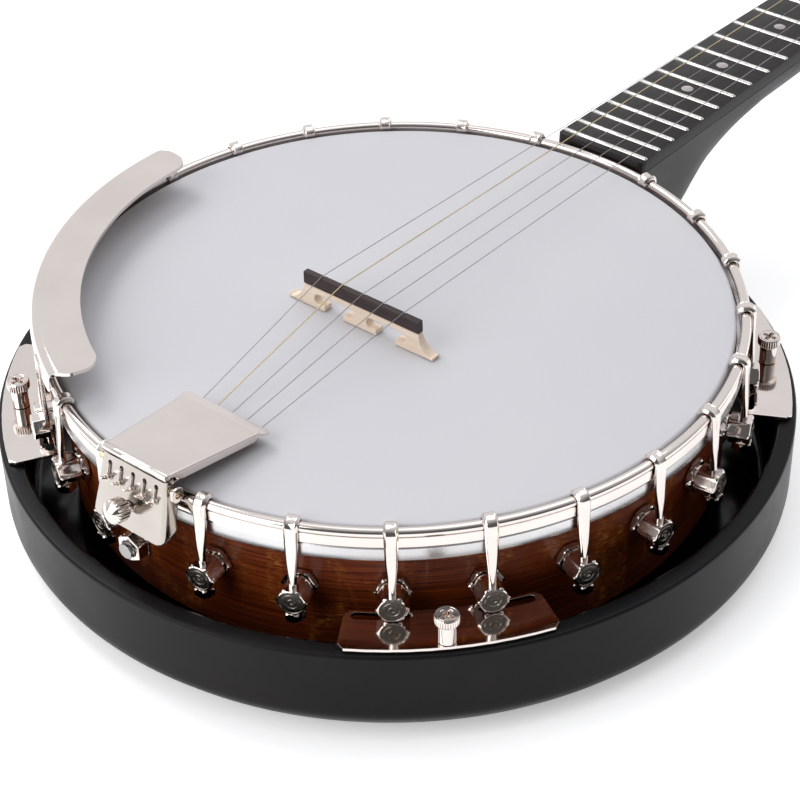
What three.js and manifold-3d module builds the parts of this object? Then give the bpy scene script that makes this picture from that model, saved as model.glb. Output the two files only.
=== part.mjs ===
// A five-string resonator banjo, in millimetres, +Z up out of the drum head.
// The origin is on the pot's axis, on the flat back of the resonator. +Y runs along the neck
// to the headstock and +X is the side of the first string.
// Inside the "instrument" group heights count from the drum head, so most of them are negative.

import * as THREE from "three";
import { mergeVertices } from "three/addons/utils/BufferGeometryUtils.js";
import Module from "manifold-3d";

const wasm = await Module();
wasm.setup();

// ---- Driving dimensions -------------------------------------------------------------------

const HEAD_HEIGHT = 84; // from the resonator's back to the drum head
const ROUND = 60; // sides of every large ring, all in step so their gaps stay even

// The pot, from the inside out
const RIM_INNER_R = 124;
const RIM_OUTER_R = 140.5;
const RIM_TOP = -10.4;
const RIM_BOTTOM = -66;
const COLLAR_R = 142.2; // outside of the drum head's turned-down collar
const FILM = 0.5;
const BAND_OUTER_R = 146.7; // the flesh hoop: the metal band that grips the head
const BAND_TOP = -6.5;
const BAND_BOTTOM = -13.3;
const HOOP_INNER_R = 143.9;
const HOOP_OUTER_R = 147.6;
const HOOP_BOTTOM = -6.2;
const BEAD_R = 2.1; // the round bead along the hoop's top
const BEAD_CENTRE_R = 145.9;

// The bracket hooks that pull the hoop down
const HOOKS_PER_SIDE = 12;
const FIRST_HOOK = 12.1; // degrees from the neck's axis
const HOOK_STEP = 14.36;
const HOOK_WIDTH = 5.4;
const ROD_R = 1.75;
const ROD_AT_R = 150;
const SHOE_HEIGHT = -32;
const SHOE_INNER_R = 141.1;
const SHOE_OUTER_R = 153.6;
const SHOE_FLATS = 11.1;
const SHOE_BASE_FLATS = 12.6;
const FLANGED_HOOKS = [2, 3, 8, 9]; // these hooks also clamp a flange plate

// Resonator, flange plates and their thumb screws
const RESONATOR_R = 170;
const RESONATOR_TOP = -40.2;
const RESONATOR_BACK = -HEAD_HEIGHT;
const WALL = 8.2;
const BACK_THICKNESS = 5;
const FLANGE_TOP = -37.9;
const FLANGE_THICKNESS = 1.5;
const FLANGE_INNER_R = 147.2;
const FLANGE_OUTER_R = 168;
const FLANGE_HALF_ANGLE = 14.6;
const FLANGE_ANGLES = [47.9, 133.9, -133.9, -47.9];
const SCREWS = [ // [r, bearing in degrees] of each thumb screw; the second stands over the wall
  [159.8, 48.6],
  [164.4, 134.3],
  [159.8, -134.9],
  [159.8, -48.6],
];
const SCREW_R = 4.9;
const SCREW_TOP = -24.7;

// Strings, neck and fretboard
const BRIDGE_Y = -20.4;
const BRIDGE_TOP = 15.5;
const STRING_SPACING = 10.8;
const LAST_FRET = 22;
const LAST_FRET_Y = 153.5;
const FRETBOARD_AT_LAST_FRET = 4.1;
const SCALE_LENGTH = 662.6;
const NECK_TILT = 2.04; // degrees that the neck falls away from the head's plane
const BOARD_THICKNESS = 6;
const BOARD_END = -4.6; // the board's end at the hoop, counted from the last fret
const HALF_WIDTH_AT_POT = 23.5;
const HALF_WIDTH_AT_NUT = 15.6;
const FIFTH_PEG_FRET = 5;
const HEADSTOCK_LENGTH = 160;
const HEADSTOCK_THICKNESS = 14;
const HEADSTOCK_TILT = 13; // degrees back from the fretboard

// ---- Helpers ------------------------------------------------------------------------------

const rad = (degrees) => (degrees * Math.PI) / 180;
const vec = (x, y, z) => new THREE.Vector3(x, y, z);
const range = (count) => Array.from({ length: count }, (_, i) => i);
const lerp = THREE.MathUtils.lerp;

// A closed geometry as a manifold solid, with only its shared positions kept.
function solid(geometry) {
  const plain = geometry.index ? geometry.toNonIndexed() : geometry.clone();
  plain.deleteAttribute("normal");
  plain.deleteAttribute("uv");
  const merged = mergeVertices(plain, 1e-4);
  return new wasm.Manifold(
    new wasm.Mesh({
      numProp: 3,
      vertProperties: merged.attributes.position.array,
      triVerts: new Uint32Array(merged.index.array),
    }),
  );
}

function geometryOf(manifold) {
  const mesh = manifold.getMesh();
  return new THREE.BufferGeometry()
    .setAttribute("position", new THREE.BufferAttribute(mesh.vertProperties, 3))
    .setIndex(new THREE.BufferAttribute(mesh.triVerts, 1));
}

const join = (...parts) => geometryOf(parts.map(solid).reduce((a, b) => a.add(b)));

const cut = (body, ...tools) =>
  geometryOf(tools.map(solid).reduce((a, b) => a.subtract(b), solid(body)));

// A profile of [radius, height] points turned about the Z axis.
function turned(profile, sides = ROUND) {
  const points = profile.map(([r, h]) => new THREE.Vector2(r, h));
  return new THREE.LatheGeometry(points, sides).rotateX(Math.PI / 2);
}

// A ring: the same, with the profile closed on itself.
const ring = (profile, sides) => turned([...profile, profile[0]], sides);

function box(x0, x1, y0, y1, z0, z1) {
  return new THREE.BoxGeometry(x1 - x0, y1 - y0, z1 - z0).translate(
    (x0 + x1) / 2,
    (y0 + y1) / 2,
    (z0 + z1) / 2,
  );
}

// A bar of any number of sides between two points; radiusB tapers it.
function bar(a, b, radiusA, sides = 12, radiusB = radiusA, turn = 0) {
  const along = b.clone().sub(a);
  const middle = a.clone().add(b).multiplyScalar(0.5);
  const up = vec(0, 1, 0);
  return new THREE.CylinderGeometry(radiusB, radiusA, along.length(), sides)
    .rotateY(turn)
    .applyQuaternion(new THREE.Quaternion().setFromUnitVectors(up, along.clone().normalize()))
    .translate(middle.x, middle.y, middle.z);
}

// An outline of [x, y] points, or a Shape, as a plate between two heights.
function plate(outline, z0, z1, curveSegments = 8) {
  const shape = Array.isArray(outline)
    ? new THREE.Shape(outline.map(([x, y]) => new THREE.Vector2(x, y)))
    : outline;
  const options = { depth: z1 - z0, bevelEnabled: false, curveSegments };
  return new THREE.ExtrudeGeometry(shape, options).translate(0, 0, z0);
}

// An outline of [y, z] points as a slab from x0 to x1.
function slab(outline, x0, x1) {
  const turn = new THREE.Matrix4().makeBasis(vec(0, 1, 0), vec(0, 0, 1), vec(1, 0, 0));
  return plate(outline, x0, x1).applyMatrix4(turn);
}

// A closed skin through rings of equally many points, each ring counter-clockwise seen from
// the last ring, with flat ends.
function loft(rings) {
  const sides = rings[0].length;
  const positions = rings.flat().flatMap((p) => [p.x, p.y, p.z]);
  const faces = [];
  for (let r = 0; r + 1 < rings.length; r++)
    for (let i = 0; i < sides; i++) {
      const a = r * sides + i;
      const b = r * sides + ((i + 1) % sides);
      faces.push(a, b, b + sides, a, b + sides, a + sides);
    }
  const last = (rings.length - 1) * sides;
  for (let i = 1; i + 1 < sides; i++) {
    faces.push(0, i + 1, i);
    faces.push(last, last + i, last + i + 1);
  }
  return new THREE.BufferGeometry()
    .setAttribute("position", new THREE.Float32BufferAttribute(positions, 3))
    .setIndex(faces);
}

// A thin round strand through points, mitred at each of them.
function strand(points, radius, sides = 8) {
  let side = vec(1, 0, 0);
  const rings = points.map((p, i) => {
    const from = points[Math.max(i, 1)].clone().sub(points[Math.max(i, 1) - 1]).normalize();
    const last = points.length - 1;
    const to = points[Math.min(i, last - 1) + 1].clone().sub(points[Math.min(i, last - 1)]).normalize();
    const tangent = from.add(to).normalize();
    const across = side.clone().addScaledVector(tangent, -side.dot(tangent)).normalize();
    side = across;
    const over = tangent.clone().cross(across);
    return range(sides).map((k) => {
      const t = (2 * Math.PI * k) / sides;
      return p
        .clone()
        .addScaledVector(across, radius * Math.cos(t))
        .addScaledVector(over, radius * Math.sin(t));
    });
  });
  return loft(rings);
}

// Arc points [x, y] about a centre, from one angle to another in degrees.
function arc(cx, cy, r, from, to, steps) {
  return range(steps + 1).map((i) => {
    const t = rad(lerp(from, to, i / steps));
    return [cx + r * Math.cos(t), cy + r * Math.sin(t)];
  });
}

// Pieces round the pot are made facing along +Y and turned to their bearing from the neck.
const bearing = (geometry, degrees) => geometry.rotateZ(-rad(degrees));
const onCircle = (r, degrees, z) => vec(r * Math.sin(rad(degrees)), r * Math.cos(rad(degrees)), z);

// Part of a flat ring, centred on the +Y axis, with rounded corners.
function sector(rInner, rOuter, halfAngle, corner, steps = 10) {
  const inset = (r) => halfAngle - (corner / r) * (180 / Math.PI);
  const along = (r, from, to, count) => arc(0, 0, r, 90 - from, 90 - to, count);
  const a = rad(halfAngle);
  const edge = (r, s) => [s * r * Math.sin(a), r * Math.cos(a)];
  return [
    ...along(rInner, -inset(rInner), inset(rInner), steps),
    edge(rInner + corner, 1),
    edge(rOuter - corner, 1),
    ...along(rOuter, inset(rOuter), -inset(rOuter), steps),
    edge(rOuter - corner, -1),
    edge(rInner + corner, -1),
  ].reverse();
}

// ---- Finishes -----------------------------------------------------------------------------

const finish = (color, roughness, metalness) =>
  new THREE.MeshStandardMaterial({ color, roughness, metalness });
const FINISHES = {
  nickel: finish(0xd6ccc6, 0.15, 1),
  aluminium: finish(0xdfe3e8, 0.3, 1),
  brass: finish(0xb08d4c, 0.35, 1),
  steel: finish(0xb9b9bb, 0.25, 1),
  mahogany: finish(0x5a2412, 0.25, 0),
  blackLacquer: finish(0x1b1b1d, 0.35, 0),
  neckLacquer: finish(0x303032, 0.4, 0),
  rosewood: finish(0x2b2320, 0.5, 0),
  maple: finish(0xf0d9b8, 0.55, 0),
  ebony: finish(0x352c2b, 0.45, 0),
  frostedFilm: finish(0xe2e4e8, 0.6, 0),
  bone: finish(0xeee7d6, 0.4, 0),
  pearl: finish(0xe8e4da, 0.3, 0),
};

const banjo = new THREE.Group();
const instrument = new THREE.Group();
instrument.position.z = HEAD_HEIGHT;
banjo.add(instrument);

function add(name, geometry, material, group = instrument) {
  const mesh = new THREE.Mesh(geometry, FINISHES[material]);
  mesh.name = name;
  group.add(mesh);
}

// ---- Resonator ----------------------------------------------------------------------------

function resonatorBowl() {
  const inner = RESONATOR_R - WALL;
  const floor = RESONATOR_BACK + BACK_THICKNESS;
  const bowl = turned([
    [0, RESONATOR_BACK],
    [154, RESONATOR_BACK],
    [163, RESONATOR_BACK + 2.4],
    [168.6, RESONATOR_BACK + 8],
    [RESONATOR_R, RESONATOR_BACK + 14],
    [RESONATOR_R, RESONATOR_TOP - 1],
    [RESONATOR_R - 1, RESONATOR_TOP],
    [inner + 1, RESONATOR_TOP],
    [inner, RESONATOR_TOP - 1],
    [inner, floor + 6],
    [inner - 6, floor],
    [0, floor],
  ]);
  // The neck's heel drops into a notch in the wall.
  const notch = box(-24.6, 24.6, 150, 180, -67, 0);
  // A thumb screw that stands over the wall goes into a bore in it.
  const bores = SCREWS.filter(([r]) => r > inner).map(([r, angle]) =>
    bar(onCircle(r, angle, -52), onCircle(r, angle, -30), 2.2, 10),
  );
  return cut(bowl, notch, ...bores);
}
add("resonator", resonatorBowl(), "blackLacquer");

// Threaded blocks glued inside the resonator's wall take the thumb screws.
SCREWS.forEach(([r, angle], i) => {
  const block = box(-8, 8, 154.8, RESONATOR_R - WALL - 1, -56, RESONATOR_TOP);
  const hole = bar(vec(0, r, -58), vec(0, r, -30), 2.2, 10);
  const open = box(-2.1, 2.1, r, RESONATOR_R, -58, -30);
  add(`resonator_lug_${i + 1}`, bearing(cut(block, hole, open), angle), "neckLacquer");
});

// ---- Rim, tone ring, head and flesh hoop ---------------------------------------------------

const ROD_HEIGHT = -24.4;
const COORDINATOR_R = 3.6;

function woodRim() {
  const hoop = ring([
    [RIM_INNER_R, RIM_BOTTOM],
    [RIM_OUTER_R, RIM_BOTTOM],
    [RIM_OUTER_R, RIM_TOP],
    [RIM_INNER_R, RIM_TOP],
  ]);
  const bore = bar(vec(0, -150, ROD_HEIGHT), vec(0, 150, ROD_HEIGHT), COORDINATOR_R + 0.5);
  return cut(hoop, bore);
}
add("rim", woodRim(), "mahogany");

add(
  "tone_ring",
  ring([
    [RIM_OUTER_R - 6, RIM_TOP + 0.4],
    [RIM_OUTER_R + 0.6, RIM_TOP + 0.4],
    [RIM_OUTER_R + 0.6, -2.4],
    [RIM_OUTER_R - 0.8, -1],
    [RIM_OUTER_R - 3.2, -1.6],
  ]),
  "brass",
);

add(
  "drum_head",
  turned([
    [0, -FILM],
    [COLLAR_R - 2.6, -FILM],
    [COLLAR_R - 0.9, -2],
    [COLLAR_R - 0.6, -10],
    [COLLAR_R, -10],
    [COLLAR_R, -1.8],
    [COLLAR_R - 1.4, 0],
    [0, 0],
  ]),
  "frostedFilm",
);

add(
  "flesh_hoop",
  ring([
    [COLLAR_R + 0.4, BAND_BOTTOM],
    [BAND_OUTER_R, BAND_BOTTOM],
    [BAND_OUTER_R, BAND_TOP],
    [COLLAR_R + 0.4, BAND_TOP],
  ]),
  "aluminium",
);

// ---- Tension hoop with its hooks, shoes and nuts -------------------------------------------

function tensionHoop() {
  const bead = arc(BEAD_CENTRE_R, 0, BEAD_R, -12, 180, 5);
  return ring([
    [HOOP_INNER_R, HOOP_BOTTOM],
    [HOOP_OUTER_R, HOOP_BOTTOM],
    [HOOP_OUTER_R, -1.4],
    ...bead,
  ]);
}

// A six-sided ring of points round a shank that starts as a flat strip and ends as a rod.
function shankRing(y, z, halfX, halfY, corner) {
  return [
    vec(halfX, y, z),
    vec(halfX - corner, y + halfY, z),
    vec(corner - halfX, y + halfY, z),
    vec(-halfX, y, z),
    vec(corner - halfX, y - halfY, z),
    vec(halfX - corner, y - halfY, z),
  ];
}

// A hex bar along the radius, its flats level, with a wider foot against the rim.
function shoe() {
  const hexRing = (y, flats) =>
    range(6).map((k) => {
      const t = rad(-60 * k);
      const r = flats / 2 / Math.cos(rad(30));
      return vec(r * Math.cos(t), y, SHOE_HEIGHT + r * Math.sin(t));
    });
  return loft([
    hexRing(SHOE_INNER_R, SHOE_BASE_FLATS),
    hexRing(SHOE_INNER_R + 2.4, SHOE_BASE_FLATS),
    hexRing(SHOE_INNER_R + 2.5, SHOE_FLATS),
    hexRing(SHOE_OUTER_R, SHOE_FLATS),
  ]);
}

function hook(clampsFlange) {
  const claw = slab(
    [
      ...arc(BEAD_CENTRE_R, 0, BEAD_R + 1.8, 0, 172, 5),
      ...arc(BEAD_CENTRE_R, 0, BEAD_R - 0.6, 172, 0, 1),
    ],
    -HOOK_WIDTH / 2,
    HOOK_WIDTH / 2,
  );
  const stripY = BEAD_CENTRE_R + BEAD_R + 1.05;
  const nutTop = SHOE_HEIGHT - SHOE_FLATS / 2 - 0.1 - (clampsFlange ? 2.1 : 0);
  const end = nutTop - 5.5;
  const shank = loft([
    shankRing(ROD_AT_R, end, ROD_R, 1.5, 0.87),
    shankRing(stripY + 0.5, -21.5, ROD_R, 1.5, 0.87),
    shankRing(stripY + 0.4, -17.5, HOOK_WIDTH / 2 - 0.1, 0.8, 0.3),
    shankRing(stripY, 0.6, HOOK_WIDTH / 2 - 0.1, 0.75, 0.3),
  ]);
  const nut = bar(vec(0, ROD_AT_R, nutTop - 3.8), vec(0, ROD_AT_R, nutTop), 3.9, 6);
  return [claw, shank, shoe(), nut];
}

function hoopWithHooks() {
  const pieces = [tensionHoop()];
  for (const side of [1, -1])
    for (let i = 0; i < HOOKS_PER_SIDE; i++)
      for (const piece of hook(FLANGED_HOOKS.includes(i)))
        pieces.push(bearing(piece, side * (FIRST_HOOK + i * HOOK_STEP)));
  return join(...pieces);
}
add("tension_hoop_and_hooks", hoopWithHooks(), "nickel");

// ---- Flange plates and thumb screws --------------------------------------------------------

function flangePlate(screwR, screwOffset) {
  const z0 = FLANGE_TOP - FLANGE_THICKNESS;
  const body = plate(sector(FLANGE_INNER_R, FLANGE_OUTER_R, FLANGE_HALF_ANGLE, 2.5), z0, FLANGE_TOP);
  const slots = [-1, 1].map((s) =>
    bearing(plate(sector(148.2, 152, 4.3, 1.2, 4), z0 - 1, FLANGE_TOP + 1), s * 9.2),
  );
  const hole = bearing(bar(vec(0, screwR, z0 - 1), vec(0, screwR, FLANGE_TOP + 1), 2.2), screwOffset);
  return cut(body, ...slots, hole);
}
FLANGE_ANGLES.forEach((angle, i) => {
  const [screwR, screwAngle] = SCREWS[i];
  add(`flange_plate_${i + 1}`, bearing(flangePlate(screwR, screwAngle - angle), angle), "nickel");
});

// A knurled head on a plain waist that bears on the plate.
function thumbScrew() {
  const profile = [
    [0, -50],
    [1.8, -50],
    [1.8, FLANGE_TOP + 0.3],
    [3.6, FLANGE_TOP + 0.3],
    [3.6, SCREW_TOP - 4.4],
    [SCREW_R, SCREW_TOP - 3.7],
    [SCREW_R, SCREW_TOP],
    [0, SCREW_TOP],
  ];
  const cross = [box(-2.9, 2.9, -0.55, 0.55, -26.5, -24), box(-0.55, 0.55, -2.9, 2.9, -26.5, -24)];
  return cut(turned(profile, 12), ...cross);
}
SCREWS.forEach(([r, angle], i) => {
  const at = onCircle(r, angle, 0);
  add(`thumb_screw_${i + 1}`, thumbScrew().translate(at.x, at.y, 0), "nickel");
});

// ---- Bridge --------------------------------------------------------------------------------

// Half of the bridge's outline, [x, z], from the middle foot's centre to the top.
const BRIDGE_HALF = [
  [0, 0.3],
  [8.8, 0.3],
  [8.8, 2.6],
  ...arc(5.6, 4.8, 2.2, -60, -270, 5),
  [14, 7.6],
  ...arc(22.4, 4.8, 2.2, 90, -120, 5),
  [18.8, 2.6],
  [18.8, 0.3],
  [38.4, 0.3],
  [38.4, 1.9],
  ...arc(40.6, 10.4, 10, 250, 184, 5),
];

function bridgeBase() {
  const mirrored = BRIDGE_HALF.map(([x, z]) => [-x, z])
    .reverse()
    .slice(0, -1);
  const outline = [...BRIDGE_HALF.slice(1), ...mirrored];
  const turn = new THREE.Matrix4().makeBasis(vec(1, 0, 0), vec(0, 0, 1), vec(0, -1, 0));
  return plate(outline, -2.5, 2.5).applyMatrix4(turn);
}
add("bridge_base", bridgeBase().translate(0, BRIDGE_Y, 0), "maple");

const CAP_HALF = 30.6;
const CAP_BOTTOM = 10;
const cap = box(-CAP_HALF, CAP_HALF, BRIDGE_Y - 1.5, BRIDGE_Y + 1.5, CAP_BOTTOM, BRIDGE_TOP);
add("bridge_cap", cap, "ebony");

// ---- Tailpiece ------------------------------------------------------------------------------

const REAR_TOP = [-153.4, 10.9]; // [y, z] of the rear plate's outer face
const REAR_BOTTOM = [-160.7, -14.4];
const REAR_SLOPE = (REAR_BOTTOM[0] - REAR_TOP[0]) / (REAR_BOTTOM[1] - REAR_TOP[1]);
const rearY = (z) => REAR_TOP[0] + REAR_SLOPE * (z - REAR_TOP[1]);
const REAR_OUT = vec(0, -1, REAR_SLOPE).normalize(); // the rear plate's outward normal
const SHEET = 1.3;
const HINGE = [-152.2, 12.8]; // [y, z] of the cover's hinge
const LID_FRONT_Y = -107; // the cover's crease, in front of which a wider band slopes down
const LID_FRONT_TOP = 7.6;
const BAND_FRONT_Y = -101.4;
const BAND_FRONT_TOP = 5.5;
const BAND_HALF = 21.6;
const LIP_Y = -103.4;

// A trapezium outline: half-widths at the back and front, and the y of each.
const trapezium = (backY, backHalf, frontY, frontHalf) => [
  [-backHalf, backY],
  [backHalf, backY],
  [frontHalf, frontY],
  [-frontHalf, frontY],
];

function tailpieceFrame() {
  // The rear plate leans out towards its foot and is wider there.
  const quad = (z, half, inset) => [
    vec(half, rearY(z) + inset, z),
    vec(-half, rearY(z) + inset, z),
  ];
  const [tr, tl] = quad(REAR_TOP[1], 16.2, 0);
  const [tri, tli] = quad(REAR_TOP[1], 16.2, SHEET);
  const [br, bl] = quad(REAR_BOTTOM[1], 18.4, 0);
  const [bri, bli] = quad(REAR_BOTTOM[1], 18.4, SHEET);
  const rear = loft([
    [bl, br, bri, bli],
    [tl, tr, tri, tli],
  ]);
  // Side cheeks run forward from the rear plate to just short of the hoop.
  const cheek = slab(
    [
      [rearY(REAR_BOTTOM[1]) + 0.2, REAR_BOTTOM[1]],
      [-149.4, REAR_BOTTOM[1] - 1.4],
      [-149.4, REAR_TOP[1] - 1.6],
      [rearY(REAR_TOP[1]) + 0.2, REAR_TOP[1]],
    ],
    0,
    SHEET,
  );
  const lean = new THREE.Matrix4().makeShear(0, 0, 0, 0, -0.08, 0);
  const right = cheek.clone().applyMatrix4(lean).translate(16.1, 0, 0);
  const left = right.clone().scale(-1, 1, 1);
  flip(left);
  // The base passes over the hoop and ends in a lip that the strings run across.
  const base = slab(
    [
      [-155.6, 3.5],
      [-144, 3.3],
      [LIP_Y - 4, 1.6],
      [LIP_Y, 1.2],
      [LIP_Y + 0.3, 2.6],
      [LIP_Y - 4, 3],
      [-144, 4.5],
      [-155.6, 4.7],
    ],
    -22.5,
    22.5,
  );
  const half = [
    [12, -156],
    [12, -109],
    [15, -106.6],
    [17.4, -106],
    [17.4, LIP_Y + 1],
  ];
  const mirrored = half.map(([x, y]) => [-x, y]).reverse();
  const outline = plate([...half, ...mirrored], -5, 12);
  const floor = geometryOf(solid(base).intersect(solid(outline)));
  const bores = [
    crossPin(30, 1.4),
    screwAt(2.5, -8, 8),
    ...PIN_X.map((x) => box(x - 0.9, x + 0.9, -160, -150, 6.9, 9)),
  ];
  const pins = PIN_X.map((x) => {
    const foot = vec(x, rearY(2) + 0.5, 2);
    return bar(foot, foot.clone().addScaledVector(REAR_OUT, 3.6), 0.9, 8);
  });
  return join(cut(join(rear, right, left, floor), ...bores), ...pins);
}

// Turns every face of a mirrored geometry the right way round again.
function flip(geometry) {
  const index = geometry.index ? geometry.index.array : null;
  const positions = geometry.attributes.position;
  if (index) {
    for (let i = 0; i < index.length; i += 3) [index[i], index[i + 1]] = [index[i + 1], index[i]];
    return;
  }
  for (let i = 0; i < positions.count; i += 3)
    for (let k = 0; k < 3; k++) {
      const value = positions.array[3 * i + k];
      positions.array[3 * i + k] = positions.array[3 * i + 3 + k];
      positions.array[3 * i + 3 + k] = value;
    }
}

const crossPin = (half, radius) => bar(vec(-half, -151.4, 6.2), vec(half, -151.4, 6.2), radius, 8);
const PIN_X = range(5).map((i) => (i - 2) * 6);
const SCREW_HOLE_Z = -4.8;
// A bar along the pressure screw's axis, from one distance out of the rear plate to another.
function screwAt(radius, from, to, sides = 12, radiusB = radius) {
  const root = vec(0, rearY(SCREW_HOLE_Z), SCREW_HOLE_Z);
  const at = (d) => root.clone().addScaledVector(REAR_OUT, d);
  return bar(at(from), at(to), radius, sides, radiusB);
}

add("tailpiece_frame", tailpieceFrame(), "nickel");

function tailpieceCover() {
  const [hy, hz] = HINGE;
  const roll = bar(vec(-16.6, hy, hz), vec(16.6, hy, hz), 1.6, 12);
  const drop = (LID_FRONT_TOP - hz - 1) / (LID_FRONT_Y - hy);
  const top = (y) => hz + 1.2 + drop * (y - hy);
  const sheet = slab(
    [
      [hy, top(hy) - SHEET],
      [LID_FRONT_Y, LID_FRONT_TOP - 1.1],
      [BAND_FRONT_Y, BAND_FRONT_TOP - 1.1],
      [BAND_FRONT_Y, BAND_FRONT_TOP],
      [LID_FRONT_Y, LID_FRONT_TOP],
      [hy, top(hy)],
    ],
    -BAND_HALF,
    BAND_HALF,
  );
  const sides = slab(
    [
      [hy + 3.2, top(hy + 3.2) - 4.4],
      [LID_FRONT_Y - 1, LID_FRONT_TOP - 3.2],
      [LID_FRONT_Y - 1, LID_FRONT_TOP - 0.4],
      [hy + 3.2, top(hy + 3.2) - 0.4],
    ],
    -21,
    21,
  );
  const outer = plate(trapezium(hy - 0.1, 16.6, LID_FRONT_Y, 20.2), -5, 20);
  const inner = plate(trapezium(hy - 5, 15.2, LID_FRONT_Y + 5, 19.3), -5, 20);
  const half = [
    [16.6, hy - 0.1],
    [20.1, LID_FRONT_Y - 1.2],
    [20.5, LID_FRONT_Y - 0.2],
    [BAND_HALF, LID_FRONT_Y + 0.8],
    [BAND_HALF, BAND_FRONT_Y - 1],
    [BAND_HALF - 1, BAND_FRONT_Y],
  ];
  const outline = plate([...half, ...half.map(([x, y]) => [-x, y]).reverse()], -5, 20);
  const lid = solid(sheet).intersect(solid(outline));
  const flanges = solid(sides).intersect(solid(outer)).subtract(solid(inner));
  const body = lid.add(flanges).add(solid(roll));
  return geometryOf(body);
}
add("tailpiece_cover", tailpieceCover(), "nickel");

add("tailpiece_cross_pin", crossPin(20.4, 1.1), "nickel");

// A strap over the end of the upper rod carries the tailpiece.
function hangerStrap() {
  const strap = box(-5, 5, -155.4, -153.8, -30, -7.8);
  const hole = bar(vec(0, -160, ROD_HEIGHT), vec(0, -150, ROD_HEIGHT), COORDINATOR_R + 0.3);
  return cut(strap, hole);
}
add("tailpiece_hanger", hangerStrap(), "nickel");

add(
  "tailpiece_pressure_screw",
  join(
    screwAt(1.9, -1.2, 3.1, 10),
    screwAt(3, 3, 4.2, 14, 4.9),
    screwAt(4.9, 4.1, 9.6, 14),
    screwAt(4.6, 9.5, 11.6, 14, 2),
  ),
  "nickel",
);

// ---- Coordinator rod ------------------------------------------------------------------------

// The rod ties the heel to the tail of the rim, with a nut against the rim's inside at each end.
function coordinatorRod() {
  const rod = bar(vec(0, -163, ROD_HEIGHT), vec(0, 156, ROD_HEIGHT), COORDINATOR_R - 0.2, 10);
  const innerNut = (s) => bar(vec(0, s * 117.6, ROD_HEIGHT), vec(0, s * 123.2, ROD_HEIGHT), 6.9, 6);
  return join(rod, innerNut(-1), innerNut(1));
}
add("coordinator_rod", coordinatorRod(), "steel");

function hangerNut() {
  return cut(
    bar(vec(0, -161, ROD_HEIGHT), vec(0, -155.7, ROD_HEIGHT), 6.2, 6),
    bar(vec(0, -162, ROD_HEIGHT), vec(0, -154.7, ROD_HEIGHT), COORDINATOR_R + 0.1, 10),
  );
}
add("hanger_nut", hangerNut(), "nickel");

// ---- Armrest --------------------------------------------------------------------------------

const ARM_FROM = -84;
const ARM_TO = -156.6;
const ARM_MIDDLE = (ARM_FROM + ARM_TO) / 2;
const ARM_HALF = (ARM_FROM - ARM_TO) / 2;
const ARM_TOP = 13.7;
const CLAMP_ANGLES = [-91.1, -148.5];

function armrest() {
  const pad = plate(sector(129.2, 148.9, ARM_HALF, 5, 20), ARM_TOP - 1.8, ARM_TOP);
  const skirt = plate(sector(147.3, 148.9, ARM_HALF - 2.4, 0.4, 20), 4.7, ARM_TOP - 1);
  return bearing(join(pad, skirt), ARM_MIDDLE);
}
add("armrest", armrest(), "nickel");

CLAMP_ANGLES.forEach((angle, i) => {
  const strap = box(-3.5, 3.5, 149.6, 151.2, -30, 11.5);
  const hex = bar(vec(0, 149.9, -22), vec(0, 156.5, -22), 5.4, 6, 5.4, rad(30));
  add(`armrest_clamp_${i + 1}`, bearing(join(strap, hex), angle), "nickel");
});

// ---- Neck -----------------------------------------------------------------------------------

// The neck is made lying along +Y, with the fretboard's top at height 0 and the last fret at
// y = 0, and then tilted into its place on the pot.
const neckFrame = new THREE.Matrix4()
  .makeTranslation(0, LAST_FRET_Y, FRETBOARD_AT_LAST_FRET)
  .multiply(new THREE.Matrix4().makeRotationX(-rad(NECK_TILT)));
const onNeck = (geometry) => geometry.applyMatrix4(neckFrame);
const neckPoint = (x, y, z) => vec(x, y, z).applyMatrix4(neckFrame);

// Distance of a fret from the last one, in the equal-tempered scale.
const fretY = (n) => SCALE_LENGTH * (2 ** (-n / 12) - 2 ** (-LAST_FRET / 12));
const NUT_Y = fretY(0);
const PEG_Y = fretY(FIFTH_PEG_FRET);
const PEG_AT = [PEG_Y + 8, -12.6]; // [y, z] of the fifth peg's axis
const SHOULDER = PEG_Y + 14; // where the neck starts to narrow past the peg

// The board's edges: the bass side steps in beyond the fifth peg.
const trebleEdge = (y) => lerp(HALF_WIDTH_AT_POT, HALF_WIDTH_AT_NUT, y / NUT_Y);
function bassEdge(y) {
  const wide = HALF_WIDTH_AT_POT - 0.0115 * y;
  const narrow = HALF_WIDTH_AT_NUT + 0.35;
  const blend = THREE.MathUtils.smoothstep(y, SHOULDER, SHOULDER + 16);
  return lerp(wide, narrow, blend);
}

function boardOutline(yFrom, yTo, corner) {
  const stations = [0, 4, 8, 12, 16].map((step) => SHOULDER + step);
  return [
    [-bassEdge(yFrom) + corner, yFrom],
    [trebleEdge(yFrom) - corner, yFrom],
    [trebleEdge(yFrom), yFrom + corner],
    [trebleEdge(yTo), yTo],
    ...[yTo, ...stations.reverse()].map((y) => [-bassEdge(y), y]),
    [-bassEdge(yFrom), yFrom + corner],
  ];
}

function fretboard() {
  const board = plate(boardOutline(BOARD_END, NUT_Y, 2.4), -BOARD_THICKNESS, 0);
  const frets = range(LAST_FRET).map((i) => {
    const y = fretY(i + 1);
    return slab(
      [
        [y - 1.1, -0.3],
        [y + 1.1, -0.3],
        [y + 0.5, 0.95],
        [y - 0.5, 0.95],
      ],
      -bassEdge(y) + 0.4,
      trebleEdge(y) - 0.4,
    );
  });
  return onNeck(join(board, ...frets));
}
add("fretboard", fretboard(), "rosewood");

add(
  "nut",
  onNeck(box(-bassEdge(NUT_Y) + 0.3, trebleEdge(NUT_Y) - 0.3, NUT_Y + 0.3, NUT_Y + 5, -5.6, 1.3)),
  "bone",
);

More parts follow.
